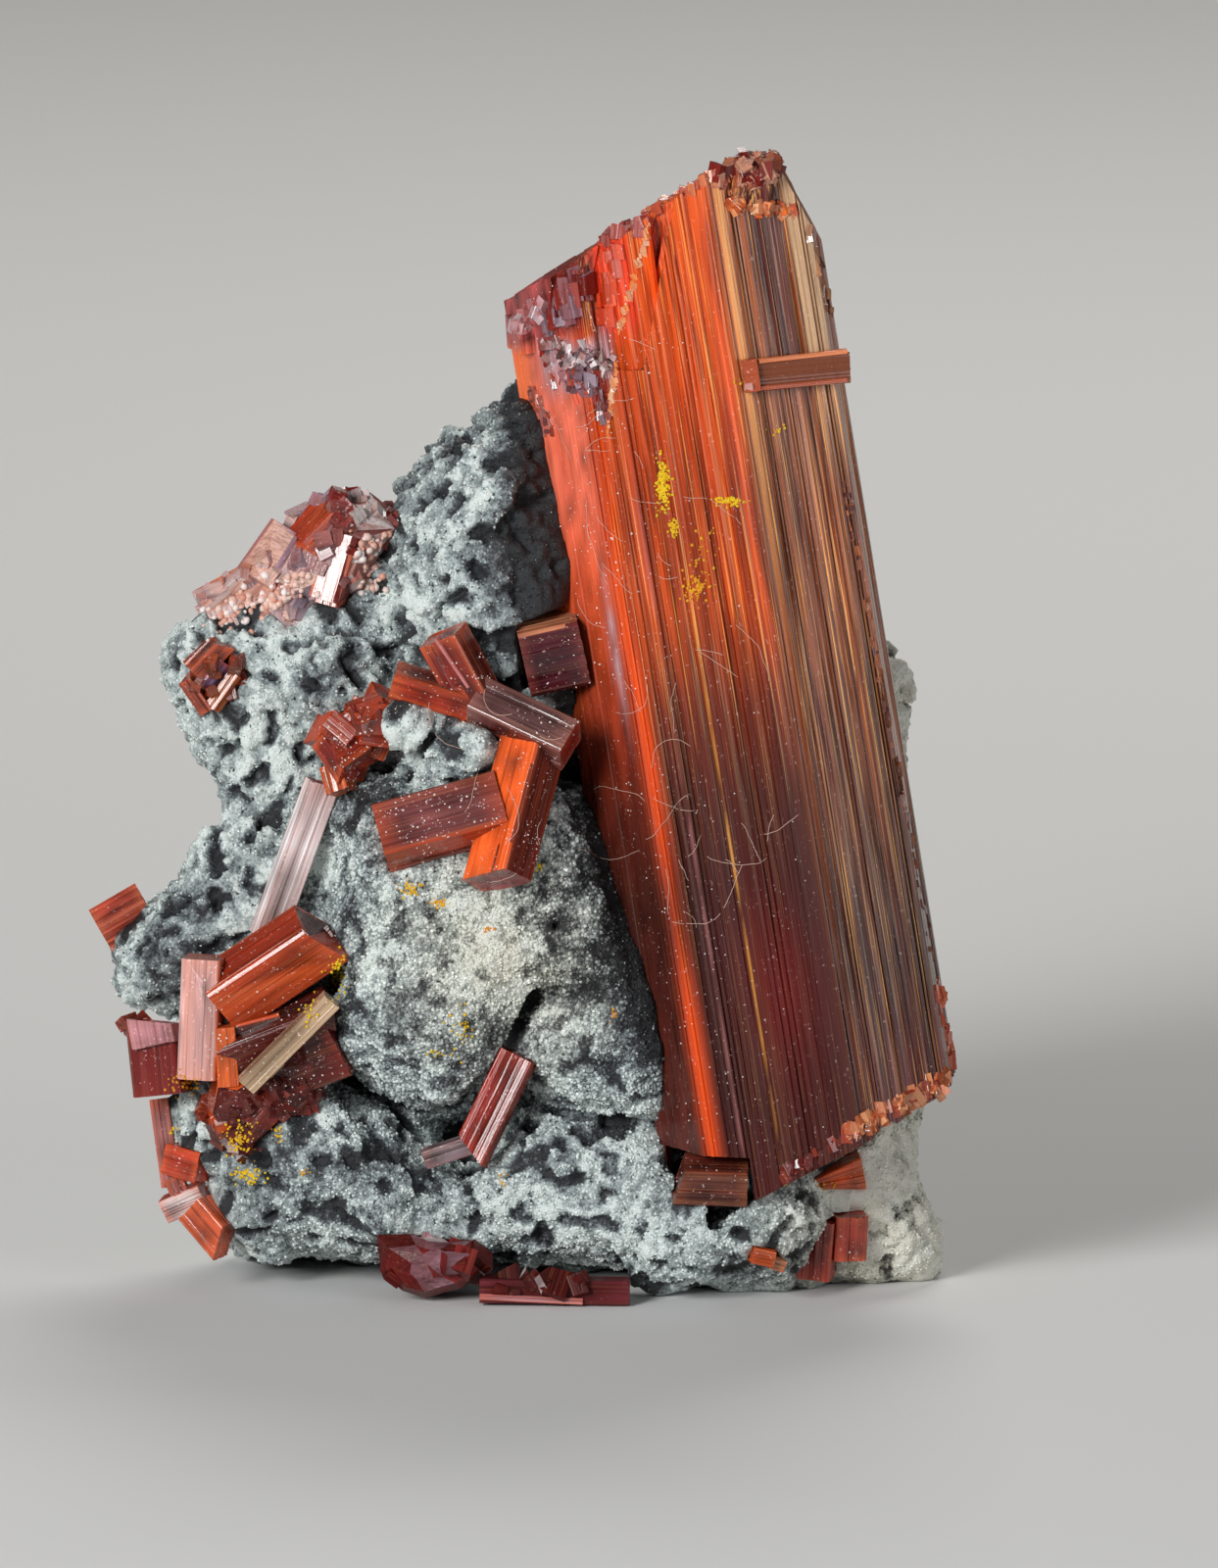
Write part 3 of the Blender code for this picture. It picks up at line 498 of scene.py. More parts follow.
# Where the crust is coarse its grains are smaller: a factor of the coarseness, and what it adds to.
GRAIN_SHRINK = -0.3
GRAIN_SCALE = 1.05


def random_node(tree, kind, seed):
    """A random value of this kind for each grain."""
    node = tree.nodes.new("FunctionNodeRandomValue")
    node.data_type = kind
    link(tree, seed, node.inputs["Seed"])
    return node


def painted_node(tree, name):
    """A value painted on the skin."""
    node = tree.nodes.new("GeometryNodeInputNamedAttribute")
    node.inputs["Name"].default_value = name
    return node.outputs["Attribute"]


def make_grain_tree():
    """Geometry Nodes that scatter the grains over the skin they are given."""
    tree = bpy.data.node_groups.new("grains", "GeometryNodeTree")
    face = tree.interface
    face.new_socket("Geometry", in_out="INPUT", socket_type="NodeSocketGeometry")
    for name in ("Per Square Metre", "Smallest", "Largest"):
        face.new_socket(name, in_out="INPUT", socket_type="NodeSocketFloat")
    face.new_socket("Seed", in_out="INPUT", socket_type="NodeSocketInt")
    face.new_socket("Material", in_out="INPUT", socket_type="NodeSocketMaterial")
    face.new_socket("Geometry", in_out="OUTPUT", socket_type="NodeSocketGeometry")
    new = tree.nodes.new
    given = new("NodeGroupInput").outputs
    result = new("NodeGroupOutput")

    scatter = new("GeometryNodeDistributePointsOnFaces")
    scatter.distribute_method = "RANDOM"
    density = math_node(tree, "MULTIPLY", painted_node(tree, "grain_cover"), given["Per Square Metre"])
    link(tree, given["Geometry"], scatter.inputs["Mesh"])
    link(tree, density, scatter.inputs["Density"])
    link(tree, given["Seed"], scatter.inputs["Seed"])

    shape = new("GeometryNodeMeshUVSphere")
    shape.inputs["Segments"].default_value = 6
    shape.inputs["Rings"].default_value = 2
    shape.inputs["Radius"].default_value = 1

    size = random_node(tree, "FLOAT", given["Seed"])
    link(tree, given["Smallest"], size.inputs[2])
    link(tree, given["Largest"], size.inputs[3])
    scale = math_node(tree, "MULTIPLY_ADD", painted_node(tree, "coarse"), GRAIN_SHRINK, GRAIN_SCALE)
    scale = math_node(tree, "MULTIPLY", size.outputs[1], scale)
    turn = random_node(tree, "FLOAT_VECTOR", given["Seed"])
    turn.inputs["Max"].default_value = (math.tau, math.tau, math.tau)

    instance = new("GeometryNodeInstanceOnPoints")
    link(tree, scatter.outputs["Points"], instance.inputs["Points"])
    link(tree, shape.outputs["Mesh"], instance.inputs["Instance"])
    link(tree, turn.outputs[0], instance.inputs["Rotation"])
    link(tree, scale, instance.inputs["Scale"])

    tone = random_node(tree, "FLOAT", given["Seed"])
    keep = new("GeometryNodeStoreNamedAttribute")
    keep.data_type = "FLOAT"
    keep.domain = "INSTANCE"
    keep.inputs["Name"].default_value = "tone"
    link(tree, instance.outputs["Instances"], keep.inputs["Geometry"])
    link(tree, tone.outputs[1], keep.inputs["Value"])

    real = new("GeometryNodeRealizeInstances")
    finish = new("GeometryNodeSetMaterial")
    link(tree, keep.outputs["Geometry"], real.inputs["Geometry"])
    link(tree, real.outputs["Geometry"], finish.inputs["Geometry"])
    link(tree, given["Material"], finish.inputs["Material"])
    link(tree, finish.outputs["Geometry"], result.inputs["Geometry"])
    return tree


def run_tree(tree, name, source_mesh, values):
    """A plain mesh object: the tree's result on that mesh, with its named inputs set."""
    obj = add_object(name, source_mesh)
    grow = obj.modifiers.new("nodes", "NODES")
    grow.node_group = tree
    for item in tree.interface.items_tree:
        if item.item_type == "SOCKET" and item.in_out == "INPUT" and item.name in values:
            grow[item.identifier] = values[item.name]
    settle(obj)
    return obj


def grain_material():
    """Glassy quartz, a tone of its own for each grain."""
    material, tree, shader = new_material("quartz_grain")
    spot = object_spot(tree)
    tone = crust_tone(tree, centred(tree, attribute_node(tree, "tone"), 0.75), spot, GRAIN_LIFT)
    link(tree, quartz_colour(tree, tone, spot), shader.inputs["Base Color"])
    shader.inputs["Roughness"].default_value = 0.35
    shader.inputs["IOR"].default_value = 1.54
    return material


def spread_grains():
    """Grains in batches, densest on open, fine crust that faces the display side."""
    mesh = rock.data
    facing = -normals_of(mesh)[:, 1]
    cover = painted_values(mesh, "open_ground") * np.clip(0.4 + 1.2 * facing, 0.24, 1)
    cover = cover * (1.1 - 0.75 * painted_values(mesh, "coarse"))
    paint_values(mesh, "grain_cover", cover.astype(np.float32))
    # The skin's area, each face counted by how much of it grains may cover.
    area = 0
    for face in mesh.polygons:
        area += face.area * sum(cover[index] for index in face.vertices) / len(face.vertices)
    tree = make_grain_tree()
    finish = grain_material()
    for batch in range(GRAIN_BATCHES):
        values = {
            "Per Square Metre": GRAINS_PER_BATCH / area, "Smallest": GRAIN_SIZES[0] * MM,
            "Largest": GRAIN_SIZES[1] * MM, "Seed": 40 + batch, "Material": finish,
        }
        grains = run_tree(tree, "quartz_grains_%d" % (batch + 1), mesh.copy(), values)
        finish_piece(grains, "quartz_coated_rock")


def split_rock():
    """The skin in slices from left to right, each a piece of its own."""
    middles = sorted(face.center.x for face in rock.data.polygons)
    cuts = [middles[len(middles) * index // ROCK_PIECES] for index in range(1, ROCK_PIECES)]
    cuts = [-math.inf, *cuts, math.inf]
    for index, (low, high) in enumerate(zip(cuts, cuts[1:])):
        bm = bmesh.new()
        bm.from_mesh(rock.data)
        other = [face for face in bm.faces if not low <= face.calc_center_median().x < high]
        bmesh.ops.delete(bm, geom=other, context="FACES")
        slice_mesh = rock.data.copy()
        bm.to_mesh(slice_mesh)
        bm.free()
        slice_mesh.shade_smooth()
        piece = add_object("rock_skin_%d" % (index + 1), slice_mesh)
        finish_piece(piece, "quartz_coated_rock", *(["matrix"] if index == 0 else []))
    bpy.data.objects.remove(rock, do_unlink=True)


spread_grains()
split_rock()


# ------------------------------------------------------------------------------ main crystal
# One large prism of realgar, leaning to the left. Its sides are striated along its length where
# narrow growth bands stand a little above or below one another; its top and its foot are broken
# slantwise, and its upper left corner has gone back to lower steps.

# The ends of its axis as (across, height, depth), and its section as (across, through) places from
# the rear of its left face round by the front.
MAIN_FOOT = (11.7, 2.0, -6.1)
MAIN_TIP = (4.4, 47.0, -2.4)
MAIN_SECTION = [(-6.6, 1.0), (-4.0, -3.3), (2.45, -4.55), (6.3, -3.1), (6.6, 0.4),
                (5.4, 3.4), (0.2, 4.4), (-5.4, 3.6)]
# The planes that it is broken along: a point of each, and the way that it faces.
MAIN_END_PLANES = [
    ((5.6, 43.5, -5.0), (-0.53, 0.12, 0.84)),
    ((9.4, 45.4, -5.0), (0.1, 0.14, 0.98)),
    ((10.9, 43.6, -5.0), (0.87, 0.05, 0.48)),
    ((13.6, 5.6, -8.0), (0.49, 0.0, -0.87)),
]
# Growth bands on each side of the section, and how deep they are sunk at most.
MAIN_BANDS = [16, 52, 42, 9, 8, 14, 14, 8]
MAIN_RELIEF = [0.05, 0.13, 0.15, 0.12, 0.14, 0.14, 0.14, 0.1]
MAIN_ROWS = 46
MAIN_ROUGHNESS = 0.32
# A growth band's flat is let in by this much in mm at each edge.
BAND_INSET = 0.025
# The bands beside the corners of a section are sunk by only this much in mm.
CORNER_SINK = 0.01
# A broken end face is drawn in to its middle in rings of these sizes; a flat one has none.
END_RINGS = (0.93, 0.84, 0.75, 0.6)
# Share of a small crystal's thickness that its corners are cut by.
EDGE_CUT = 0.06


def lengthwise_frame(foot, tip, roll):
    """Frame in mm at the foot: X across the display side, Y through the crystal, Z along it."""
    along = (tip - foot).normalized()
    through = Vector((0, 1, 0))
    through = (through - along * through.dot(along)).normalized()
    across = through.cross(along)
    placed = Matrix((across, through, along)).transposed().to_4x4()
    placed = placed @ Matrix.Rotation(math.radians(roll), 4, "Z")
    placed.translation = foot
    return placed


def growth_bands(section, counts, reliefs, rng):
    """Columns round a section, corner to corner and two to a band: (place, inward, sink)."""
    columns = []
    for side, count in enumerate(counts):
        start = Vector(section[side])
        end = Vector(section[(side + 1) % len(section)])
        run = end - start
        inward = Vector((-run.y, run.x)).normalized()
        widths = [rng.uniform(0.25, 1) ** 2 + 0.08 for _ in range(count)]
        edge = 0
        for band, width in enumerate(widths):
            share = width / sum(widths)
            # Most bands are hardly sunk, and one in five deeply.
            deep = rng.random()
            sink = reliefs[side] * (deep ** 3 if deep < 0.8 else rng.uniform(0.6, 1))
            tilt = rng.uniform(-0.16, 0.16) * share * run.length
            if band in (0, count - 1):
                sink = CORNER_SINK
                tilt = 0
            inset = min(BAND_INSET / run.length, share * 0.2)
            for place, off in ((edge + inset, sink), (edge + share - inset, sink + tilt)):
                columns.append((start + run * place, inward, max(0, off)))
            edge += share
    return columns


def striated_prism(columns, low_end, high_end, rows, rng, roughness):
    """Closed prism through those columns, its end faces broken by up to a roughness in mm."""
    bm = bmesh.new()
    count = len(columns)
    centre = sum((place for place, _, _ in columns), Vector((0, 0))) / count
    drift = [rng.uniform(0, 100) for _ in columns]
    loops = []
    for row in range(rows + 1):
        share = row / rows
        loop = []
        for index, (place, inward, sink) in enumerate(columns):
            # Both columns of a band waver and break off alike.
            band = drift[index // 2 * 2]
            low = low_end(place)
            high = high_end(place) - roughness * abs(noise.noise(Vector((band, 0, 0))))
            along = low + (high - low) * share
            waver = noise.noise(Vector((band, along / 5, 0)))
            spot = place + inward * sink * (1 + 0.7 * waver)
            loop.append(bm.verts.new((spot.x, spot.y, along)))
        loops.append(loop)
    for lower, upper in zip(loops, loops[1:]):
        for index in range(count):
            following = (index + 1) % count
            bm.faces.new((lower[index], lower[following], upper[following], upper[index]))
    # Each end face is drawn in ring by ring, the inner rings with fewer points.
    for ring, end, facing in ((loops[0], low_end, -1), (loops[-1], high_end, 1)):
        for shrink in END_RINGS if roughness else ():
            picked = list(range(0, len(ring), 2 if shrink < 0.9 and len(ring) > 20 else 1))
            inner = []
            for index in picked:
                place = centre + (ring[index].co.xy - centre) * shrink
                dent = roughness * abs(noise.noise(Vector((place.x, place.y, facing * 9)) / 0.9))
                inner.append(bm.verts.new((place.x, place.y, end(place) - facing * dent)))
            for place, index in enumerate(picked):
                following = picked[place + 1] if place + 1 < len(picked) else len(ring)
                outer = [ring[k % len(ring)] for k in range(index, following + 1)]
                corners = outer + [inner[(place + 1) % len(inner)], inner[place]]
                bm.faces.new(corners if facing > 0 else corners[::-1])
            ring = inner
        middle = bm.verts.new((centre.x, centre.y, end(centre)))
        for index, vert in enumerate(ring):
            corners = (vert, ring[(index + 1) % len(ring)], middle)
            bm.faces.new(corners if facing > 0 else corners[::-1])
    bmesh.ops.triangulate(bm, faces=[face for face in bm.faces if len(face.verts) > 4])
    return bm


def bar(foot, tip, width, thickness, roll=0, foot_slant=0, tip_slant=0, taper=1, bands=9, relief=0.05,
        rows=5, seed=1, roughness=0.1):
    """A small crystal: an oblong prism with cut corners, striated, from foot to tip."""
    rng = random.Random(seed)
    start = seen(*foot)
    end = seen(*tip)
    length = (end - start).length
    x = width / 2
    y = thickness / 2
    cut = EDGE_CUT * min(width, thickness)
    section = [(-x + cut, -y), (x - cut, -y), (x, -y + cut), (x, y - cut), (x - cut, y), (-x + cut, y),
               (-x, y - cut), (-x, -y + cut)]
    counts = [bands, 1, bands, 1, bands, 1, bands, 1]
    columns = growth_bands(section, counts, [relief * 1.5] * 8, rng)

    def low_end(place):
        return foot_slant * place.x

    def high_end(place):
        return length + tip_slant * place.x

    bm = striated_prism(columns, low_end, high_end, rows, rng, roughness)
    for vert in bm.verts:
        vert.co.x *= taper + (1 - taper) * min(1, max(0, vert.co.z / length))
    placed = lengthwise_frame(start, end, roll)
    bmesh.ops.transform(bm, matrix=Matrix.Scale(MM, 4) @ placed, verts=bm.verts)
    bmesh.ops.recalc_face_normals(bm, faces=bm.faces)
    return mesh_of(bm, "bar"), placed, (width, thickness, length)


def combine(obj, others, operation):
    """Boolean of obj with each of the other objects in turn, which are used up."""
    for other in others:
        boolean = obj.modifiers.new("boolean", "BOOLEAN")
        boolean.operation = operation
        boolean.solver = "MANIFOLD"
        boolean.object = other
    settle(obj)
    for other in others:
        bpy.data.objects.remove(other, do_unlink=True)


main_frame = lengthwise_frame(seen(*MAIN_FOOT), seen(*MAIN_TIP), 0)


def main_ends(place, up):
    """Where the planes that face up, or down, cross a place of the section, in mm along it."""
    ends = []
    for point, facing in MAIN_END_PLANES:
        normal = main_frame.to_3x3().transposed() @ Vector(facing).normalized()
        if (normal.z > 0) == up:
            inside = main_frame.inverted() @ seen(*point)
            ends.append((normal.dot(inside) - normal.x * place.x - normal.y * place.y) / normal.z)
    return ends


def main_low_end(place):
    return max(main_ends(place, False))


def main_high_end(place):
    return min(main_ends(place, True))


def main_shape():
    """The crystal with its broken ends, what is missing from it and what is grown on it."""
    rng = random.Random(5)
    columns = growth_bands(MAIN_SECTION, MAIN_BANDS, MAIN_RELIEF, rng)
    bm = striated_prism(columns, main_low_end, main_high_end, MAIN_ROWS, rng, MAIN_ROUGHNESS)
    bmesh.ops.transform(bm, matrix=Matrix.Scale(MM, 4) @ main_frame, verts=bm.verts)
    bmesh.ops.recalc_face_normals(bm, faces=bm.faces)
    crystal = add_object("main_crystal_body", mesh_of(bm, "main_crystal_body"))
    missing = [
        bar((3.9, 44.4, -8.1), (2.4, 36.2, -7.6), 4.4, 5.4, tip_slant=0.3, bands=14, relief=0.2,
            roughness=0.3),
        bar((-0.6, 40.8, -3.0), (2.2, 42.6, -3.0), 1.7, 9.0),
        bar((0.6, 37.2, -6.2), (1.4, 35.0, -6.6), 1.2, 1.6, roll=30),
        bar((2.6, 36.8, -7.0), (2.9, 34.8, -7.4), 0.7, 1.8, roll=20),
        bar((9.3, 43.5, -7.9), (8.9, 46.6, -7.7), 2.7, 2.6, foot_slant=0.1),
        bar((7.75, 1.0, -6.0), (7.3, 5.25, -6.0), 3.5, 12.0, tip_slant=-0.1),
        bar((14.6, 24.4, -7.5), (15.0, 22.2, -7.5), 0.8, 1.3, roll=25),
        bar((15.1, 21.0, -7.6), (15.4, 19.4, -7.6), 0.8, 1.3, roll=10),
        bar((14.0, 5.0, -9.6), (14.7, 6.2, -9.4), 1.0, 1.4, roll=30),
        bar((15.6, 6.0, -9.0), (15.9, 7.0, -9.0), 0.9, 1.4, roll=-20),
        bar((16.8, 6.6, -8.4), (17.0, 7.8, -8.4), 0.7, 1.4, roll=30),
    ]
    combine(crystal, [add_object("missing", shape[0]) for shape in missing], "DIFFERENCE")
    added = [
        bar((4.6, 36.6, -5.5), (3.9, 42.2, -5.0), 2.2, 2.2, tip_slant=0.6, bands=12),
        bar((3.2, 37.2, -4.6), (2.6, 41.3, -4.2), 1.1, 2.2, tip_slant=0.6),
        bar((2.3, 37.5, -4.8), (1.9, 40.6, -4.5), 1.1, 2.2, tip_slant=0.6),
        bar((1.1, 37.6, -4.0), (0.8, 39.9, -3.8), 1.4, 2.2, tip_slant=0.6),
        bar((-0.1, 37.5, -2.8), (-0.2, 39.1, -2.8), 1.1, 2.2, roll=15, tip_slant=0.5),
        bar((1.6, 36.2, -5.4), (2.6, 37.6, -5.2), 1.2, 1.4, roll=35),
        bar((8.4, 43.4, -6.2), (8.7, 44.9, -6.2), 1.0, 1.6, roll=30, tip_slant=-0.3),
        bar((9.6, 43.2, -6.0), (9.6, 44.9, -6.0), 0.9, 1.6, roll=-20, tip_slant=0.3),
        bar((8.7, 36.4, -7.7), (12.9, 36.8, -6.3), 1.3, 1.0, foot_slant=0.1, bands=7),
    ]
    combine(crystal, [add_object("added", shape[0]) for shape in added], "UNION")
    return crystal


def blend_rows(value, rows):
    """The colour at a value, from (place, colour) rows in rising order."""
    for (low, first), (high, second) in zip(rows, rows[1:]):
        if value <= high:
            share = min(1, max(0, (value - low) / (high - low)))
            return Vector(first).lerp(Vector(second), share)
    return Vector(rows[-1][1])


# Body colour from foot to tip, in mm along the crystal: of the narrow left face, of the wide front face,
# and of the face to its right. Each is the realgar's red with painted light and shade: dark low down,
# where the rock backs the crystal and the left face lies in shade, and glowing orange toward the tip,
# where light shines through.
LEFT_COLOURS_AND_LIGHT = [(0, (0.12, 0.018, 0.012)), (14, (0.05, 0.011, 0.008)), (18, (0.12, 0.018, 0.010)),
                (21, (0.30, 0.036, 0.014)), (25, (0.56, 0.07, 0.02)), (28, (0.76, 0.11, 0.04)),
                (31, (0.86, 0.165, 0.09)), (37, (0.86, 0.16, 0.085)), (42, (0.6, 0.055, 0.03))]
FRONT_COLOURS_AND_LIGHT = [(0, (0.08, 0.008, 0.006)), (6, (0.045, 0.005, 0.004)), (14, (0.048, 0.006, 0.005)),
                 (18, (0.085, 0.012, 0.006)), (22, (0.20, 0.024, 0.006)), (26, (0.52, 0.062, 0.005)),
                 (30, (0.47, 0.052, 0.005)), (34, (0.58, 0.062, 0.005)), (42, (0.82, 0.095, 0.006))]
RIGHT_COLOURS_AND_LIGHT = [(0, (0.15, 0.04, 0.03)), (6, (0.14, 0.035, 0.028)), (10, (0.075, 0.024, 0.018)),
                 (14, (0.11, 0.036, 0.022)), (20, (0.25, 0.07, 0.028)), (30, (0.31, 0.085, 0.03)),
                 (37, (0.42, 0.12, 0.04)), (42, (0.34, 0.08, 0.03))]


def paint_layers(mesh, domain):
    """The layers that realgar is painted with: body colour, place in the crystal, streaks."""
    kinds = (
        ("body", "FLOAT_COLOR", domain),
        ("lattice", "FLOAT_VECTOR", domain),
        ("streaked", "FLOAT", "POINT"),
    )
    for name, kind, where in kinds:
        mesh.attributes.new(name, kind, where)
    return [mesh.attributes[name] for name, _, _ in kinds]


def hump(value, middle, width):
    """1 at the middle, falling off to both sides of it."""
    return math.exp(-((value - middle) / width) ** 2)


def toward(tint, colour, share):
    """The tint moved by a share toward an (r, g, b) colour."""
    return tint.lerp(Vector(colour), share)


def face_tint(across, through, along):
    """Body colour and painted light of the main crystal's faces and growth lines, and their share of
    streaks.
    """
    left = blend_rows(along, LEFT_COLOURS_AND_LIGHT)
    front = blend_rows(along, FRONT_COLOURS_AND_LIGHT)
    right = blend_rows(along, RIGHT_COLOURS_AND_LIGHT)
    inside = Vector((across, through, along))
    on_front = ramp(across, -4, -3.2)
    on_right = ramp(across, 2.4, 3)
    tint = left.lerp(front, ramp(across, -4.15, -3.75)).lerp(right, ramp(across, 2.1, 2.7))
    streaked = 0.2 + on_front * (0.12 + 0.48 * ramp(along, 12, 26)) + 0.2 * on_right
    streaked += 0.3 * on_right * (1 - ramp(along, 14, 26))
    tint *= 1 + 0.75 * noise.noise(Vector((across * 3.2, through * 0.5, along / 18))) * streaked
    # The left face is clouded, with a painted orange glow at its outer edge near the top; a painted lilac
    # sheen lies along its inner edge.
    cloud = noise.noise(inside * 1.3 + Vector((2, 6, 0))) + 0.7 * noise.noise(inside * 3.4)
    tint *= 1 + 0.55 * cloud * (1 - ramp(across, -4.2, -3.6))
    outer = (1 - ramp(across, -6.2, -5.8)) * ramp(along, 21, 26)
    tint = toward(tint, (0.9, 0.16, 0.02), 0.75 * outer)
    gleam = hump(across, -4.25, 0.16) * hump(along, 24.5, 2.6)
    tint = toward(tint, (0.72, 0.48, 0.52), 0.6 * gleam * (1 + noise.noise(inside * 1.7)))
    # The edge of the front face next to the left face glows orange down to the foot in painted light,
    # dimmed a little 13.5 mm along; a pale orange edge, a painted highlight stronger toward the tip, parts
    # the front from the right face.
    ridge_glow = hump(across, -3.6, 0.34) * (1 - 0.6 * ramp(along, 22, 36))
    ridge_glow *= 1 - 0.6 * hump(along, 13.5, 2.8)
    tint = toward(tint, (0.92, 0.09, 0.006), 0.95 * ridge_glow)
    peach_highlight = hump(across - 2.5 - along * 0.008, 0, 0.2)
    amber = toward(Vector((0.8, 0.2, 0.07)), (1.0, 0.46, 0.17), ramp(along, 20, 33))
    tint = toward(tint, amber * min(1, 0.05 + (along / 37) ** 2), 0.92 * peach_highlight)
    streaked *= 1 - 0.75 * peach_highlight
    # Near the top the right face has a dark purple band and a smooth olive one.
    upper = ramp(along, 34.8, 35.4)
    purple = max(upper, 0.5 * ramp(along, 28, 33)) * (1 - ramp(abs(across - 4.45), 0.55, 0.8))
    tint = toward(tint, (0.11, 0.022, 0.02), 0.9 * purple)
    olive = max(upper, 0.45 * ramp(along, 29, 33)) * ramp(across, 5.25, 5.5) * ramp(-through, 2.4, 3.0)
    tint = toward(tint, (0.66, 0.42, 0.23), 0.9 * olive)
    streaked *= 1 - 0.6 * upper * ramp(across, 5.25, 5.5)
    # A painted dark red glow low on the front face, and two fine growth lines with painted highlights.
    glow = hump(across, 0.2, 1.7) * hump(along, 10, 4)
    tint = toward(tint, (0.32, 0.010, 0.006), 0.32 * glow)
    for middle, colour, strength in ((-0.9, (0.95, 0.42, 0.06), 0.7), (-2.4, (0.55, 0.2, 0.2), 0.5)):
        line = hump(across, middle, 0.05) * (1 - ramp(along, 28, 33))
        line *= ramp(noise.noise(Vector((middle, 3, along / 2.4))), -0.35, 0.25)
        tint = toward(tint, colour, strength * line)
    return tint, streaked


def corner_tint(tint, across, through, along):
    """The tint with what the upper left corner's breaks change.

    Its lower steps are dark red with a red knob at their left, the plane beside them is scarlet,
    and the broken ledge below them grey and lilac.
    """
    mottle = noise.noise(Vector((across, through, along)) * 2.2)
    steps = ramp(along, 37.2, 37.8) * (1 - ramp(across, -2.9, -2.6))
    tint = toward(tint, Vector((0.22, 0.018, 0.014)) * (1 + mottle), 0.95 * steps)
    knob = ramp(along, 36.9, 37.4) * (1 - ramp(across, -5.0, -4.5))
    tint = toward(tint, Vector((0.38, 0.07, 0.07)) * (1 + 1.5 * mottle), 0.8 * knob)
    plane = ramp(along, 37.2, 37.6) * ramp(across, -2.9, -2.6) * (1 - ramp(across, -1.3, -1.0))
    tint = toward(tint, (0.92, 0.055, 0.018), 0.85 * plane)
    ledge = ramp(along, 35.2, 35.8) * (1 - ramp(along, 37.1, 37.5))
    ledge *= ramp(across, -5.7, -5.2) * (1 - ramp(across, -2.7, -2.3))
    return toward(tint, Vector((0.40, 0.30, 0.34)) * (1 + 1.5 * mottle), 0.8 * ledge)


def on_cross_bar(across, through, along):
    """Whether a spot belongs to the bar grown across the right face, which stands proud of it."""
    proud = (across - 2.45) * 0.377 - 4.55 - through
    return proud > 0.12 and across > 2.2 and 34 < along < 37.6


def paint_main(obj):
    """Body colour, and the place in the crystal's own frame, for each corner of the mesh."""
    mesh = obj.data
    body, lattice, streaked = paint_layers(mesh, "POINT")
    inverse = main_frame.inverted()
    for vert, colour, place, share in zip(mesh.vertices, body.data, lattice.data, streaked.data):
        inside = inverse @ (vert.co / MM)
        tint, share.value = face_tint(*inside)
        tint = corner_tint(tint, *inside)
        if on_cross_bar(*inside):
            tint = Vector((0.10, 0.012, 0.010)) if inside.x < 2.75 else Vector((0.22, 0.06, 0.026))
            share.value = 0.1
        colour.color = (*tint, 1)
        place.vector = inside


def streaks(tree, lattice, across, along, detail=3, roughness=0.6):
    """Noise over the crystal's own frame, at one scale across the crystal and another along it."""
    node = tree.nodes.new("ShaderNodeMapping")
    node.inputs["Scale"].default_value = (across, across, along)
    link(tree, lattice, node.inputs["Vector"])
    return noise_node(tree, node.outputs["Vector"], 1, detail, roughness)


def realgar_material(name, roughness, transmission, highlight_share, frost_and_glints, level):
    """Translucent realgar: body colour from the mesh, finely streaked along the crystal."""
    material, tree, shader = new_material(name)
    lattice = attribute_node(tree, "lattice", "Vector")
    streaked = attribute_node(tree, "streaked")
    # Fine and broad streaks darken the body colour, partly as painted shade between the striations;
    # golden and grey threads, painted highlights and sheen on the striations, and small spots, partly
    # pale dust and partly painted glints, add to it.
    fine = streaks(tree, lattice, 9, 0.18)
    broad = streaks(tree, lattice, 3.2, 0.12)
    dark_stops = [(0.34, (0.22, 0.16, 0.15)), (0.44, (0.72, 0.66, 0.66)), (0.52, (1, 1, 1))]
    dark = colour_ramp(tree, fine, dark_stops)
    deep = colour_ramp(tree, broad, [(0.36, (0.42, 0.3, 0.25)), (0.5, (1, 1, 1))])
    threads = streaks(tree, lattice, 13, 0.1, 2)
    striation_highlights = colour_ramp(tree, threads, [(0.59, (0, 0, 0)), (0.66, (0.72, 0.36, 0.08))])
    grey = streaks(tree, lattice, 7, 0.08, 2)
    pale = colour_ramp(tree, grey, [(0.56, (0, 0, 0)), (0.62, (0.22, 0.14, 0.085))])
    flecks = streaks(tree, lattice, 7, 5, roughness=0.75)
    dust_and_glint_specks = colour_ramp(tree, flecks, [(0.64, (0, 0, 0)), (0.69, (0.8, 0.6, 0.55))])
    share = math_node(tree, "MULTIPLY", math_node(tree, "MULTIPLY", streaked, streaked), highlight_share)
    colour = attribute_node(tree, "body", "Color")
    colour = mix_colour(tree, streaked, colour, dark, "MULTIPLY")
    colour = mix_colour(tree, streaked, colour, deep, "MULTIPLY")
    colour = mix_colour(tree, share, colour, striation_highlights, "ADD")
    colour = mix_colour(tree, share, colour, pale, "ADD")
    colour = mix_colour(tree, frost_and_glints, colour, dust_and_glint_specks, "ADD")
    link(tree, colour, shader.inputs["Base Color"])
    shader.inputs["Roughness"].default_value = roughness
    shader.inputs["IOR"].default_value = 2.5
    shader.inputs["Specular IOR Level"].default_value = level
    shader.inputs["Transmission Weight"].default_value = transmission
    bump(tree, shader, math_node(tree, "ADD", fine, broad), 0.03, 0.5)
    return material


main_crystal = main_shape()
paint_main(main_crystal)
cover_with(main_crystal, realgar_material("main_realgar", 0.22, 0.07, 0.85, 0.3, 0.05))
finish_piece(main_crystal, "orange_realgar", "main_crystal")


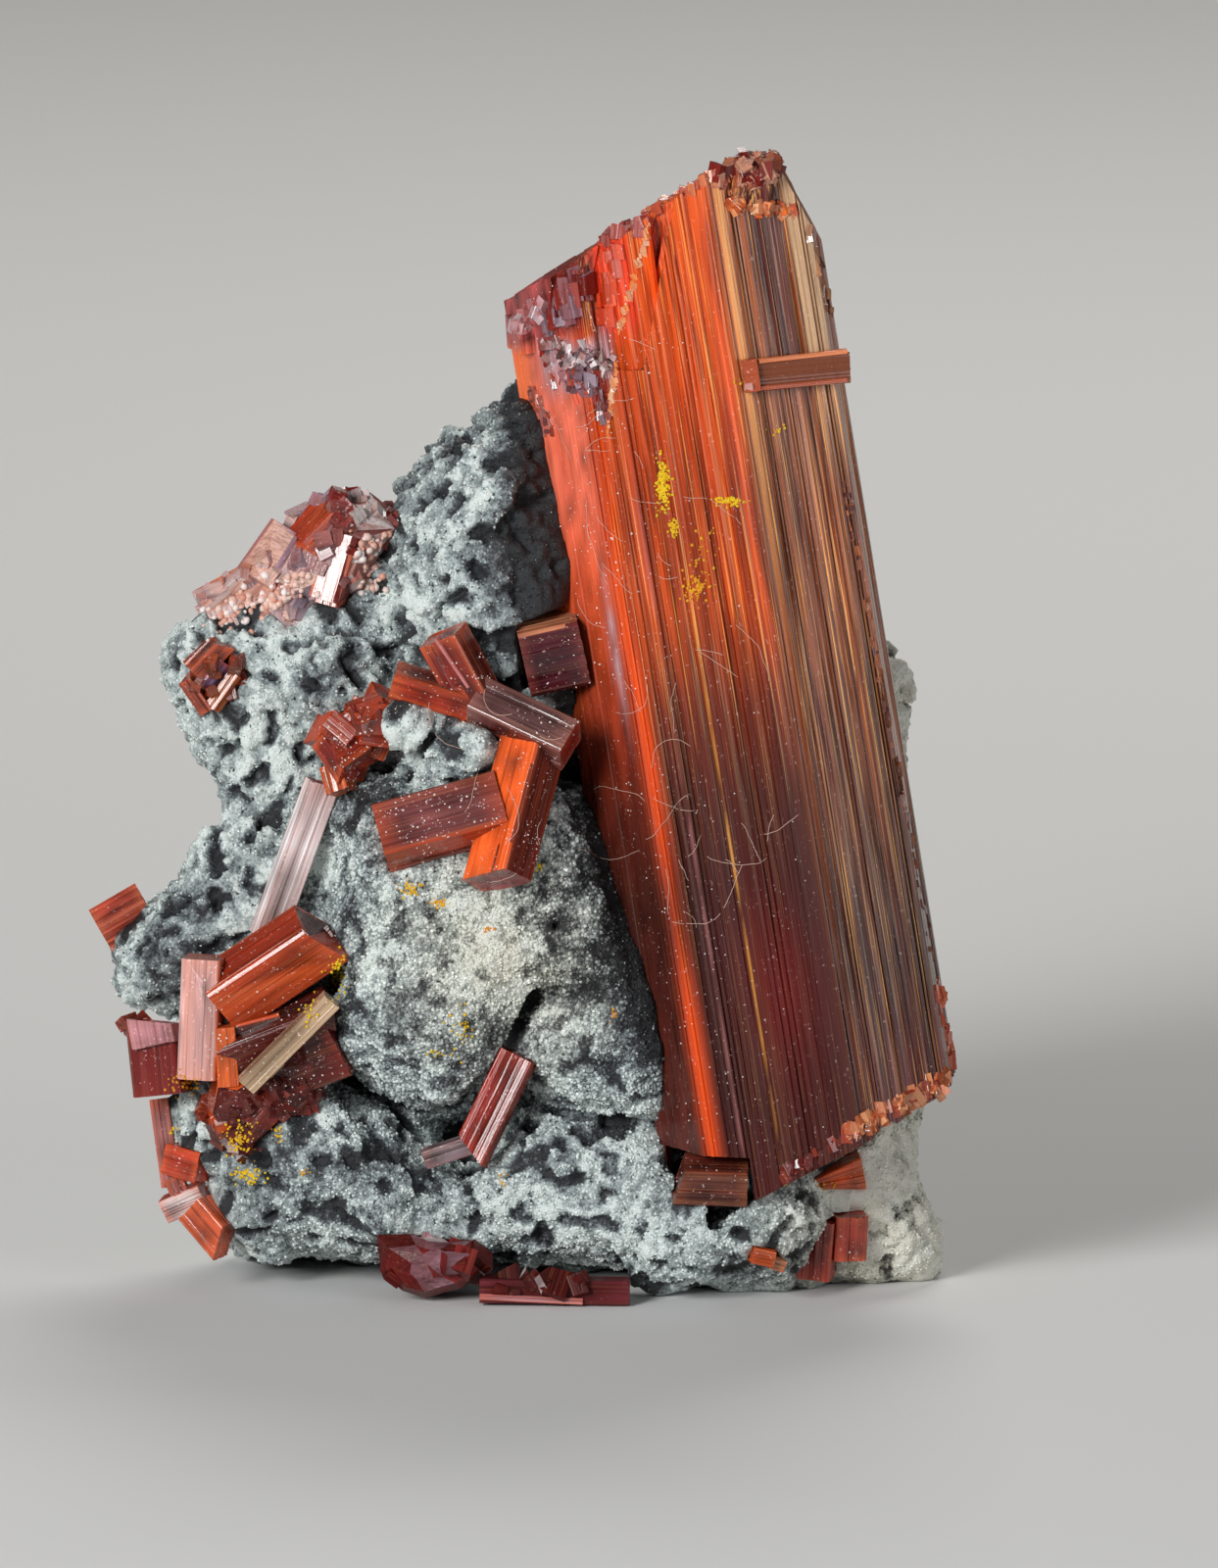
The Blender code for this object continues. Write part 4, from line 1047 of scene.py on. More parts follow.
# ------------------------------------------------------------------------------ small crystals
# Realgar of a second size sits all over the rock, single or grown into one another. Each group
# is its crystals joined; every facet has its own tint: dark realgar shows its body colour on one
# facet and reflects a lamp on the next, so some facets are painted with a pale sheen, a glint or shade.

# The lilac, the pale and the glint tints are painted sheen and glints; the others are body colours of
# realgar.
ORANGE = (0.62, 0.085, 0.010)
SCARLET = (0.42, 0.035, 0.012)
MAROON = (0.085, 0.012, 0.011)
BROWN = (0.16, 0.055, 0.035)
ROSE = (0.50, 0.15, 0.13)
LILAC_SHEEN = (0.36, 0.25, 0.31)
PEACH = (0.72, 0.33, 0.15)
BEIGE = (0.42, 0.31, 0.21)
PALE_SHEEN = (0.66, 0.52, 0.48)
PAINTED_GLINT = (0.9, 0.8, 0.8)
# A region of crust with this right end takes in all that is left.
ALL_THE_REST = math.inf
# The sides of a small crystal in its own frame.
SIDES = {
    "left": Vector((-1, 0, 0)), "right": Vector((1, 0, 0)), "front": Vector((0, -1, 0)),
    "back": Vector((0, 1, 0)), "foot": Vector((0, 0, -1)), "tip": Vector((0, 0, 1)),
}
# A small crystal's edges are painted glowing, as if light shone through them, to about this depth in mm.
PAINTED_EDGE_GLOW = 0.13
PAINTED_EDGE_GLOW_TINT = (0.85, 0.15, 0.04)
# How strongly the streaks show on the small crystals, and on the chips of the main one.
STREAKED = 0.5
CHIP_STREAKED = 0.2
# The shape of a chip or a blocky little crystal, apart from how it is turned and cut.
BLOCKY = dict(bands=1, relief=0.01, rows=1, roughness=0)
# Each row below is one crystal: its foot and its tip as (across, height, depth), its width and
# thickness, how it is turned, cut and striated, and the tints of its facets, some a painted sheen or
# shade, and of its edges' painted glow.


def row_place(point):
    """A point in mm as the (across, height, depth) of a row."""
    return point.x, display_place(point)[1], point.y


def crust_rows(node, count, length, width, regions, seed, glints, keep_off=()):
    """Rows for blocky little crystals half sunk all over the display side of a node.

    Regions are (right end, tints) in rising order across. A share of the facets are painted glints.
    The crystals in the rows to keep off stay uncovered.
    """
    rng = random.Random(seed)
    mesh = frame["nodes"][node].data
    # None grows on its back or its underside.
    facing = [face for face in mesh.polygons if face.normal.y < 0.25 and face.normal.z > -0.7]
    covered = [bar(*row[:4], **row[4])[1:] for row in keep_off]
    rows = []
    while len(rows) < count:
        face = rng.choices(facing, [face.area for face in facing])[0]
        shares = [rng.random() + 0.05 for _ in face.vertices]
        spot = Vector()
        for index, share in zip(face.vertices, shares):
            spot += mesh.vertices[index].co / MM * (share / sum(shares))
        if any(depth_inside(spot, placed.inverted(), size) > -0.1 for placed, size in covered):
            continue
        # It leans with its neighbours, and a little by itself.
        lean = Vector([noise.noise(spot / 1.8 + Vector((9 * axis, seed, 4))) * 1.6 for axis in range(3)])
        lean += Vector([rng.uniform(-0.25, 0.25) for _ in range(3)])
        along = (face.normal + lean).normalized()
        scale = rng.uniform(0.5, 1.3)
        # Its foot lies deep in the node, and its tip stands a little out of it.
        foot, tip = [row_place(spot + along * step * length * scale) for step in (-0.75, 0.14)]
        palette = next(tints for limit, tints in regions if spot.x <= limit)
        # Neighbours share a tint, in patches with frayed borders.
        patch = (noise.noise(spot / 1.1 + Vector((1, seed, 3))) + 1) * 2.5 + rng.uniform(0, 0.8)
        patch = int(patch) % len(palette)
        tints = dict(all=palette[patch], tip=palette[patch - 1], edge=rng.choice(palette))
        # Some facets are painted glints.
        for side in ("tip", "front", "left", "right"):
            if rng.random() < glints:
                tints[side] = PAINTED_GLINT
        turn = 45 * noise.noise(spot / 2.5 + Vector((3, 3, seed))) + rng.uniform(-12, 12)
        shape = dict(roll=turn, tip_slant=rng.uniform(-0.35, 0.35), **BLOCKY)
        rows.append((foot, tip, width * scale * rng.uniform(0.8, 1.2), width * scale, shape, tints))
    return rows


def depth_inside(spot, inverse, size):
    """How deep in mm a spot lies under the nearest face of a bar; negative outside."""
    inside = inverse @ spot
    width, thickness, length = size
    return min(width / 2 - abs(inside.x), thickness / 2 - abs(inside.y), inside.z, length - inside.z)


def facet_paint(owner, facing, spot):
    """Tint, and place in its crystal's frame, of a spot in mm on a facet."""
    inverse, turned, size, tints = owner
    normal = turned @ facing
    side = max(SIDES, key=lambda name: normal.dot(SIDES[name]))
    inside = inverse @ spot
    width, thickness, length = size
    # The nearest edge is as far off as the second nearest facet.
    end_off = min(inside.z, length - inside.z)
    off = sorted((width / 2 - abs(inside.x), thickness / 2 - abs(inside.y), end_off))
    tint = Vector(tints.get(side, tints["all"]))
    tint *= 1 + 0.9 * noise.noise(inside * 1.2 + Vector((7, 3, len(tints))))
    # Painted glow along the edges, in the row's edge tint.
    glow = math.exp(-max(0, off[1]) / PAINTED_EDGE_GLOW)
    tint = toward(tint, tints.get("edge", PAINTED_EDGE_GLOW_TINT), 0.6 * glow)
    # On an end facet the streaks run across the crystal.
    return tint, inside.zyx if side in ("foot", "tip") else inside


def row_bar(number, row):
    """The mesh of a row's crystal, and what the paint of its facets is found from."""
    foot, tip, width, thickness, shape, tints = row
    mesh, placed, size = bar(foot, tip, width, thickness, seed=number + 1, **shape)
    return mesh, (placed.inverted(), placed.to_3x3().transposed(), size, tints)


def grow_crystals(name, rows, core=False):
    """Crystals joined into one mesh, their facets tinted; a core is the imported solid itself."""
    grown = []
    if core:
        grown.append(merged_copy(name, name))
    corners = []
    facets = []
    owners = []
    for number, row in enumerate(rows):
        mesh, owner = row_bar(number, row)
        start = len(corners)
        corners.extend(vert.co.copy() for vert in mesh.vertices)
        facets.extend([start + index for index in face.vertices] for face in mesh.polygons)
        owners.extend(owner for _ in mesh.polygons)
        grown.append(add_object("limb", mesh))
    nearest = BVHTree.FromPolygons(corners, facets)
    solid = grown[0]
    solid.name = name + "_body"
    combine(solid, grown[1:], "UNION")
    mesh = solid.data
    body, lattice, streaked = paint_layers(mesh, "CORNER")
    streaked.data.foreach_set("value", [STREAKED] * len(mesh.vertices))
    for face in mesh.polygons:
        owner = owners[nearest.find_nearest(face.center)[2]]
        for corner in face.loop_indices:
            spot = mesh.vertices[mesh.loops[corner].vertex_index].co / MM
            tint, inside = facet_paint(owner, face.normal, spot)
            body.data[corner].color = (*tint, 1)
            lattice.data[corner].vector = inside
    return solid


def dress_group(name, slot, material, rows, core=False):
    """A node's crystals grown, given their material and put in the node's place."""
    solid = grow_crystals(name, rows, core)
    cover_with(solid, material)
    finish_piece(solid, slot, name)


dark_realgar = realgar_material("dark_realgar", 0.17, 0.08, 0.4, 0.7, 0.07)
pink_realgar = realgar_material("pink_realgar", 0.17, 0.14, 0.3, 0.6, 0.08)

# The block crystal stands behind the main crystal's left edge, its stripes lying across it.
dress_group("block_crystal", "dark_red_realgar", dark_realgar, [
    ((-0.25, 24.95, -4.4), (2.2, 25.5, -4.3), 2.75, 2.8, dict(roll=5, bands=14, relief=0.03),
     dict(all=(0.06, 0.007, 0.013), left=(0.5, 0.2, 0.1), edge=(0.30, 0.06, 0.05))),
])

# The crossed crystals lie over one another in the middle: three dark ones from the upper left,
# a large orange one hanging from them and a dark one behind it.
dress_group("crossed_crystals", "dark_red_realgar", dark_realgar, [
    ((-3.5, 25.9, -6.5), (-1.9, 22.9, -6.3), 1.8, 1.5, dict(roll=25, bands=5, relief=0.02),
     dict(all=(0.2, 0.014, 0.010), front=(0.22, 0.014, 0.009), left=(0.10, 0.016, 0.014),
          foot=(0.3, 0.06, 0.05))),
    ((-3.75, 25.8, -7.2), (-2.4, 23.8, -7.1), 0.16, 0.35, dict(roll=25, bands=1),
     dict(all=(0.42, 0.28, 0.36))),
    ((-5.5, 24.1, -6.2), (-2.2, 23.1, -6.3), 1.2, 1.3, dict(roll=20, bands=4, relief=0.02),
     dict(all=(0.40, 0.03, 0.012), left=(0.13, 0.02, 0.018), front=(0.36, 0.028, 0.012))),
    ((-2.1, 23.2, -6.6), (1.7, 21.4, -8.0), 1.7, 1.7, dict(roll=-35, bands=5, relief=0.025),
     dict(all=MAROON, front=(0.12, 0.055, 0.055), right=(0.10, 0.014, 0.012), tip=(0.26, 0.016, 0.010),
          edge=(0.45, 0.18, 0.14))),
    ((0.2, 21.6, -7.2), (-1.3, 15.9, -9.1), 2.1, 2.0, dict(roll=42, tip_slant=0.35, bands=7, relief=0.04),
     dict(all=ORANGE, front=(0.90, 0.125, 0.022), left=(0.15, 0.018, 0.012), tip=(0.28, 0.05, 0.06),
          edge=(0.9, 0.16, 0.04))),
    ((-6.0, 17.6, -8.2), (-1.0, 19.0, -8.0), 2.4, 2.1, dict(roll=-35, bands=5, relief=0.03),
     dict(all=MAROON, front=(0.2, 0.06, 0.06), right=(0.46, 0.06, 0.02), foot=(0.8, 0.10, 0.015),
          edge=(0.6, 0.09, 0.025))),
])

# The rough crystal left of them is broken all over, with one smooth facet left.
ROUGH_FACET = ((-6.7, 21.3, -5.1), (-5.6, 23.5, -5.4), 1.6, 1.6, dict(roll=15),
               dict(all=SCARLET, front=(0.42, 0.07, 0.04)))
dress_group("rough_crystal", "dark_red_realgar", dark_realgar, [
    ROUGH_FACET,
    ((-7.9, 21.9, -4.8), (-7.0, 20.6, -5.6), 1.6, 1.7, dict(roll=30, tip_slant=0.4),
     dict(all=(0.26, 0.016, 0.01))),
    ((-7.6, 22.4, -4.6), (-6.6, 20.9, -5.7), 1.4, 1.5, dict(roll=-25),
     dict(all=(0.34, 0.03, 0.014), front=MAROON)),
    ((-7.9, 20.6, -5.0), (-7.6, 19.5, -5.4), 1.0, 1.1, dict(roll=20), dict(all=(0.62, 0.12, 0.03))),
] + crust_rows("rough_crystal", 22, 1.3, 0.9, [
    (ALL_THE_REST, [MAROON, (0.3, 0.02, 0.012), (0.22, 0.016, 0.01), (0.5, 0.06, 0.02)]),
], 4, 0, [ROUGH_FACET]), core=True)

# The long blade stands free on the left boulder, leaning to the right.
dress_group("long_blade", "pink_red_realgar", pink_realgar, [
    ((-10.7, 13.6, -4.6), (-8.4, 19.9, -4.4), 1.3, 1.0, dict(roll=15, bands=6, relief=0.03),
     dict(all=(0.8, 0.66, 0.66), front=(0.85, 0.68, 0.67), left=(0.9, 0.82, 0.82), tip=(0.45, 0.04, 0.03),
          edge=(0.85, 0.5, 0.46))),
])

# The corner cluster fills the lower left: prisms and blades round a dark broken mass.
CLUSTER = [
    ((-12.6, 11.0, -6.0), (-8.4, 13.8, -6.4), 2.5, 2.2, dict(roll=25, tip_slant=0.3, bands=10, relief=0.03),
     dict(all=SCARLET, front=(0.46, 0.05, 0.010), left=(0.34, 0.03, 0.010), tip=(0.36, 0.03, 0.014),
          edge=(0.75, 0.14, 0.04))),
    ((-13.2, 12.8, -6.2), (-13.4, 7.9, -6.4), 1.6, 1.8, dict(roll=10, relief=0.07),
     dict(all=ROSE, front=(0.74, 0.42, 0.40), right=(0.82, 0.62, 0.6), left=(0.80, 0.13, 0.03),
          edge=(0.8, 0.3, 0.2))),
    ((-12.4, 10.0, -6.8), (-12.2, 7.6, -6.8), 0.9, 1.0, dict(bands=4), dict(all=(0.85, 0.14, 0.02))),
    ((-12.3, 9.6, -6.2), (-10.0, 10.2, -6.4), 0.9, 1.2, dict(bands=4), dict(all=SCARLET)),
    ((-12.0, 8.2, -5.8), (-7.8, 9.8, -6.6), 3.3, 2.4, dict(roll=15, bands=7, relief=0.03),
     dict(all=(0.06, 0.008, 0.008), front=(0.08, 0.012, 0.01), left=(0.05, 0.01, 0.01),
          edge=(0.3, 0.03, 0.015))),
    ((-11.5, 7.6, -8.0), (-8.0, 11.1, -8.3), 0.85, 0.7, dict(roll=10, bands=4),
     dict(all=BEIGE, front=(0.50, 0.34, 0.21), left=(0.34, 0.2, 0.12), edge=(0.6, 0.42, 0.26))),
    ((-15.2, 10.0, -5.0), (-14.9, 7.2, -5.4), 2.1, 1.8,
     dict(roll=15, foot_slant=-0.3, bands=4, relief=0.02),
     dict(all=(0.16, 0.010, 0.008), front=(0.15, 0.006, 0.005), foot=(0.6, 0.28, 0.29),
          edge=(0.24, 0.02, 0.015))),
    ((-15.3, 10.2, -5.5), (-15.1, 9.2, -5.7), 1.9, 1.3,
     dict(roll=15, foot_slant=-0.3, bands=4, relief=0.02),
     dict(all=(0.55, 0.24, 0.26), front=(0.52, 0.22, 0.24), edge=(0.6, 0.25, 0.25))),
]
CLUSTER_CRUST = crust_rows("corner_cluster", 70, 1.0, 0.65, [
    (-12.2, [(0.6, 0.09, 0.02), (0.4, 0.05, 0.016), MAROON]),
    (ALL_THE_REST, [MAROON, (0.05, 0.007, 0.007), (0.2, 0.02, 0.012), (0.11, 0.012, 0.01)]),
], 9, 0.05, CLUSTER)
dress_group("corner_cluster", "dark_red_realgar", dark_realgar, CLUSTER + CLUSTER_CRUST, core=True)

# Small crystals on the left boulder's foot, one under another.
dress_group("left_foot_crystals", "pink_red_realgar", pink_realgar, [
    ((-15.1, 7.0, -3.0), (-14.6, 3.4, -3.6), 0.8, 1.0, dict(), dict(all=ROSE, front=(0.48, 0.22, 0.22))),
    ((-14.6, 4.6, -3.4), (-13.2, 4.2, -4.2), 1.3, 1.4, dict(), dict(all=(0.62, 0.06, 0.025))),
    ((-14.8, 2.5, -4.0), (-13.2, 3.2, -4.4), 1.0, 1.2, dict(), dict(all=ROSE, front=(0.85, 0.74, 0.72))),
    ((-14.5, 3.8, -3.8), (-14.0, 2.6, -4.0), 0.8, 1.0, dict(), dict(all=ROSE)),
    ((-13.6, 2.6, -4.4), (-12.4, 1.2, -5.0), 1.4, 1.3, dict(roll=20, tip_slant=0.5),
     dict(all=(0.66, 0.10, 0.03))),
])

# A stub at the far left tip of the rock.
dress_group("tip_crystal", "pink_red_realgar", pink_realgar, [
    ((-17.5, 13.8, 0.6), (-15.6, 14.9, 0.8), 1.5, 1.8, dict(roll=20),
     dict(all=(0.5, 0.07, 0.04), front=(0.40, 0.06, 0.035), edge=(0.85, 0.22, 0.1))),
])

# A broken crystal in a hollow of the left shoulder: a red-brown rim round a lilac middle.
dress_group("hollow_crystal", "pink_red_realgar", pink_realgar, [
    ((-13.3, 23.7, -1.8), (-12.4, 24.8, -1.6), 1.4, 1.3, dict(roll=30),
     dict(all=(0.2, 0.13, 0.24), front=(0.17, 0.12, 0.24))),
    ((-13.7, 24.4, -2.0), (-12.5, 25.6, -1.8), 0.8, 1.3, dict(roll=15, tip_slant=0.5),
     dict(all=(0.3, 0.05, 0.03))),
    ((-12.9, 22.9, -2.2), (-11.9, 24.3, -2.0), 0.5, 1.2, dict(roll=-20), dict(all=(0.55, 0.16, 0.04))),
    ((-13.9, 24.2, -2.2), (-13.0, 22.9, -2.2), 0.6, 1.1, dict(roll=20), dict(all=(0.34, 0.06, 0.04))),
] + crust_rows("hollow_crystal", 16, 0.8, 0.5, [
    (ALL_THE_REST, [(0.3, 0.04, 0.02), (0.42, 0.08, 0.03), BROWN]),
], 12, 0))

# The shoulder crust: glassy crystals grown over one another, reddish above and frothy pale below.
SHOULDER = [
    ((-8.1, 27.1, -1.3), (-7.4, 29.6, -0.9), 1.0, 1.4, dict(roll=-20, bands=6),
     dict(all=ROSE, front=(0.52, 0.32, 0.29))),
    ((-9.0, 29.2, -0.6), (-7.9, 30.7, -0.2), 1.7, 2.0, dict(roll=25),
     dict(all=SCARLET, front=(0.20, 0.018, 0.016))),
    ((-10.9, 28.2, -0.3), (-9.6, 29.9, 0.3), 1.7, 1.9, dict(roll=-25),
     dict(all=ROSE, front=(0.42, 0.26, 0.34), right=(0.4, 0.12, 0.1), edge=(0.55, 0.26, 0.26))),
    ((-10.2, 26.8, -0.5), (-9.2, 28.4, -0.2), 1.5, 1.8, dict(roll=30),
     dict(all=ROSE, front=(0.50, 0.18, 0.15))),
]
SHOULDER_CRUST = crust_rows("shoulder_crust", 130, 0.95, 0.62, [
    (-9.6, [(0.8, 0.5, 0.42), (0.68, 0.26, 0.17), (0.6, 0.42, 0.46), (0.82, 0.58, 0.5)]),
    (-8.3, [(0.46, 0.28, 0.28), (0.34, 0.12, 0.11), (0.40, 0.29, 0.36)]),
    (-7.2, [(0.30, 0.03, 0.025), (0.2, 0.018, 0.016), (0.42, 0.15, 0.13)]),
    (-6.0, [(0.75, 0.60, 0.57), (0.88, 0.78, 0.76), (0.5, 0.18, 0.15)]),
    (ALL_THE_REST, [(0.36, 0.06, 0.045), (0.34, 0.10, 0.08), (0.24, 0.03, 0.025)]),
], 21, 0.05, SHOULDER[:3])
dress_group("shoulder_crust", "pink_red_realgar", pink_realgar, SHOULDER + SHOULDER_CRUST, core=True)

# Two crystals in the crack between the boulders.
dress_group("crack_crystals", "dark_red_realgar", dark_realgar, [
    ((-0.4, 8.8, -6.9), (-2.3, 4.9, -7.3), 1.5, 1.1, dict(roll=15, tip_slant=-0.5),
     dict(all=(0.28, 0.02, 0.014), front=(0.27, 0.017, 0.012), left=(0.2, 0.018, 0.014),
          edge=(0.4, 0.04, 0.02))),
    ((-4.2, 4.6, -6.5), (-2.1, 5.3, -6.8), 0.8, 0.9, dict(),
     dict(all=(0.26, 0.2, 0.22), edge=(0.3, 0.1, 0.09))),
])

# Crystals on the rock's underside, level with what it stands on. They lie under the ledge, so they are
# painted as in shade: near-black tints, a few painted pinkish highlights, and a dull material.
shaded_realgar = realgar_material("shaded_realgar", 0.3, 0.04, 0.3, 0.1, 0.02)
dress_group("underside_crystals", "pink_red_realgar", shaded_realgar, [
    ((-2.0, -0.7, -7.6), (4.1, -0.8, -7.7), 1.0, 1.3, dict(),
     dict(all=(0.09, 0.006, 0.006), front=(0.08, 0.006, 0.006), edge=(0.2, 0.04, 0.05))),
    ((-2.0, -1.0, -8.2), (2.2, -1.2, -8.3), 0.25, 0.4, dict(), dict(all=LILAC_SHEEN)),
] + crust_rows("underside_crystals", 22, 1.1, 0.8, [
    (-4.2, [(0.09, 0.007, 0.007), (0.16, 0.010, 0.009)]),
    (-2.4, [(0.3, 0.16, 0.19), (0.09, 0.007, 0.007), (0.2, 0.02, 0.02)]),
    (ALL_THE_REST, [(0.06, 0.006, 0.006), (0.10, 0.008, 0.008)]),
], 5, 0.04), core=True)

# The foot block lies in the notch of the main crystal's foot.
dress_group("foot_block", "dark_red_realgar", dark_realgar, [
    ((6.1, 3.8, -8.6), (8.9, 3.7, -8.6), 1.5, 2.2, dict(roll=12, foot_slant=-0.3),
     dict(all=(0.12, 0.02, 0.014), front=(0.10, 0.028, 0.02), edge=(0.4, 0.12, 0.05))),
])

# Three small ones under the main crystal's foot: an orange wedge, a red pair and two seeds.
dress_group("wedge_crystal", "orange_realgar", pink_realgar, [
    ((11.3, 3.7, -5.0), (13.5, 4.2, -4.6), 1.5, 1.6, dict(taper=0.2, roll=10),
     dict(all=(0.72, 0.10, 0.02), edge=(0.9, 0.2, 0.05))),
])
dress_group("toe_crystal", "pink_red_realgar", pink_realgar, [
    ((11.6, -0.2, -5.0), (11.8, 2.2, -5.2), 1.6, 1.6, dict(roll=-10),
     dict(all=(0.24, 0.02, 0.012), front=(0.24, 0.02, 0.012), edge=(0.6, 0.08, 0.03))),
    ((12.9, 0.6, -4.8), (13.0, 2.4, -5.0), 1.4, 1.6, dict(roll=15),
     dict(all=(0.36, 0.035, 0.02), edge=(0.7, 0.12, 0.04))),
])
dress_group("seed_crystals", "orange_realgar", pink_realgar, [
    ((9.0, 0.8, -8.6), (9.9, 0.6, -8.4), 0.7, 1.2, dict(), dict(all=ORANGE)),
    ((9.7, 0.5, -8.2), (10.3, 0.3, -8.0), 0.5, 1.0, dict(), dict(all=PEACH)),
])


# ------------------------------------------------------------------------------ chipped ends
# Where the main crystal is broken, at its top, at the lower steps of its upper left corner and
# along its foot, it has splintered into small facets, many tinted with painted glints, sheen
# and highlights.

main_tree = BVHTree.FromObject(main_crystal, bpy.context.evaluated_depsgraph_get())
MAIN_AXIS = main_frame.to_3x3().col[2].copy()
# The way that a line of sight goes, and the depth that it starts from, in front of everything.
TOWARD_BACK = Vector((0, math.cos(SIGHT), -math.sin(SIGHT)))
SIGHT_START = -40


def strike(tree, across, height):
    """Where a line of sight through (across, height) meets a tree: spot in mm and facing."""
    start = seen(across, height, SIGHT_START) * MM
    place, facing, _, _ = tree.ray_cast(start, TOWARD_BACK)
    return (place / MM, facing) if place else None


def chip_rows(zones, seed):
    """Rows for chips along the broken edges.

    A zone is a line from one (across, height) to another, its reach to both sides, how many chips
    it has, their size, how loosely they follow the crystal, and their tints.
    """
    rng = random.Random(seed)
    rows = []
    for start, end, spread, count, size, loose, palette in zones:
        for _ in range(count):
            share = rng.random()
            across = start[0] + (end[0] - start[0]) * share + rng.uniform(-spread, spread)
            height = start[1] + (end[1] - start[1]) * share + rng.uniform(-spread, spread)
            hit = strike(main_tree, across, height)
            if not hit:
                continue
            spot, facing = hit
            # It lies half sunk, and follows the crystal more or less loosely.
            lean = Vector([rng.uniform(-1, 1) for _ in range(3)])
            along = (MAIN_AXIS + lean * loose).normalized()
            scale = size * rng.uniform(0.5, 1.2)
            middle = spot - facing * scale * 0.3
            foot = row_place(middle + along * -0.9 * scale * rng.uniform(0.5, 1.1))
            tip = row_place(middle + along * 0.9 * scale * rng.uniform(0.5, 1.1))
            tints = dict(all=rng.choice(palette), tip=rng.choice(palette), edge=rng.choice(palette))
            roll = rng.uniform(-45, 45)
            slant = rng.uniform(-0.4, 0.4)
            shape = dict(roll=roll, tip_slant=slant, **BLOCKY)
            rows.append((foot, tip, scale * rng.uniform(0.7, 1.3), scale, shape, tints))
    return rows


def pile_up(name, rows):
    """One mesh of many small bars, each painted by itself."""
    corners = []
    facets = []
    tints = []
    places = []
    for number, row in enumerate(rows):
        mesh, owner = row_bar(number, row)
        start = len(corners)
        corners.extend(vert.co.copy() for vert in mesh.vertices)
        for face in mesh.polygons:
            facets.append([start + index for index in face.vertices])
            for index in face.vertices:
                tint, inside = facet_paint(owner, face.normal, mesh.vertices[index].co / MM)
                tints.extend((*tint, 1))
                places.extend(inside)
    mesh = bpy.data.meshes.new(name)
    mesh.from_pydata(corners, [], facets)
    body, lattice, streaked = paint_layers(mesh, "CORNER")
    body.data.foreach_set("color", tints)
    lattice.data.foreach_set("vector", places)
    streaked.data.foreach_set("value", [CHIP_STREAKED] * len(corners))
    return add_object(name, mesh)


DEEP_RED = (0.30, 0.02, 0.012)
CHIPS = chip_rows([
    ((-0.4, 38.5), (0.5, 39.2), 0.35, 30, 0.4, 0.9,
     [ROSE, (0.6, 0.42, 0.44), (0.45, 0.06, 0.06), (0.7, 0.3, 0.3)]),
    ((0.9, 38.4), (2.3, 40.6), 0.45, 30, 0.55, 0.08,
     [(0.16, 0.01, 0.008), DEEP_RED, (0.34, 0.03, 0.02), LILAC_SHEEN]),
    ((3.0, 38.4), (3.5, 41.4), 0.3, 14, 0.5, 0.05, [(0.85, 0.09, 0.02), (0.7, 0.06, 0.015)]),
    ((0.9, 37.4), (3.1, 36.8), 0.45, 90, 0.3, 0.9, [LILAC_SHEEN, PALE_SHEEN, PAINTED_GLINT, (0.10, 0.05, 0.05), DEEP_RED]),
    ((1.0, 36.4), (2.6, 36.0), 0.35, 40, 0.3, 0.5,
     [DEEP_RED, (0.6, 0.1, 0.05), (0.10, 0.03, 0.03), LILAC_SHEEN]),
    ((2.6, 36.4), (3.1, 34.8), 0.25, 34, 0.35, 0.2, [(0.10, 0.012, 0.010), (0.3, 0.03, 0.02), LILAC_SHEEN]),
    ((0.3, 35.8), (0.8, 34.0), 0.22, 30, 0.35, 0.2, [(0.16, 0.02, 0.016), ROSE, (0.65, 0.12, 0.05)]),
    ((2.8, 41.9), (4.8, 42.8), 0.25, 34, 0.4, 0.3, [ROSE, (0.5, 0.08, 0.06), DEEP_RED]),
    ((4.9, 42.6), (3.7, 38.2), 0.08, 44, 0.22, 0.4, [(0.85, 0.45, 0.25), (0.9, 0.25, 0.05)]),
    ((3.7, 38.2), (3.2, 34.0), 0.08, 30, 0.2, 0.4, [(0.85, 0.45, 0.25), (0.9, 0.25, 0.05)]),
    ((8.0, 44.4), (10.0, 44.9), 0.55, 80, 0.42, 0.5,
     [DEEP_RED, (0.14, 0.015, 0.012), (0.85, 0.45, 0.3), (0.6, 0.2, 0.1)]),
    ((8.0, 43.3), (10.8, 43.0), 0.18, 60, 0.3, 0.7,
     [(0.9, 0.2, 0.04), (0.85, 0.42, 0.2), (0.5, 0.08, 0.03)]),
    ((4.8, 43.1), (8.0, 44.8), 0.12, 40, 0.3, 0.3, [(0.9, 0.3, 0.1), (0.6, 0.1, 0.04), ROSE]),
    ((11.4, 42.4), (12.2, 39.0), 0.12, 26, 0.3, 0.3, [(0.45, 0.2, 0.1), (0.75, 0.35, 0.15), BROWN]),
    ((12.8, 32.0), (16.6, 12.0), 0.08, 110, 0.2, 0.1, [BROWN, (0.42, 0.12, 0.04), (0.1, 0.02, 0.015)]),
    ((16.6, 12.0), (17.4, 8.4), 0.22, 44, 0.4, 0.3,
     [(0.75, 0.15, 0.05), (0.35, 0.05, 0.03), (0.6, 0.1, 0.03)]),
    ((17.0, 7.8), (13.0, 5.6), 0.25, 110, 0.38, 0.4,
     [(0.75, 0.2, 0.06), (0.12, 0.02, 0.015), (0.4, 0.05, 0.02), (0.8, 0.35, 0.16)]),
    ((13.0, 5.6), (10.2, 3.8), 0.12, 34, 0.35, 0.3, [(0.4, 0.06, 0.03), (0.12, 0.012, 0.01)]),
], 31)
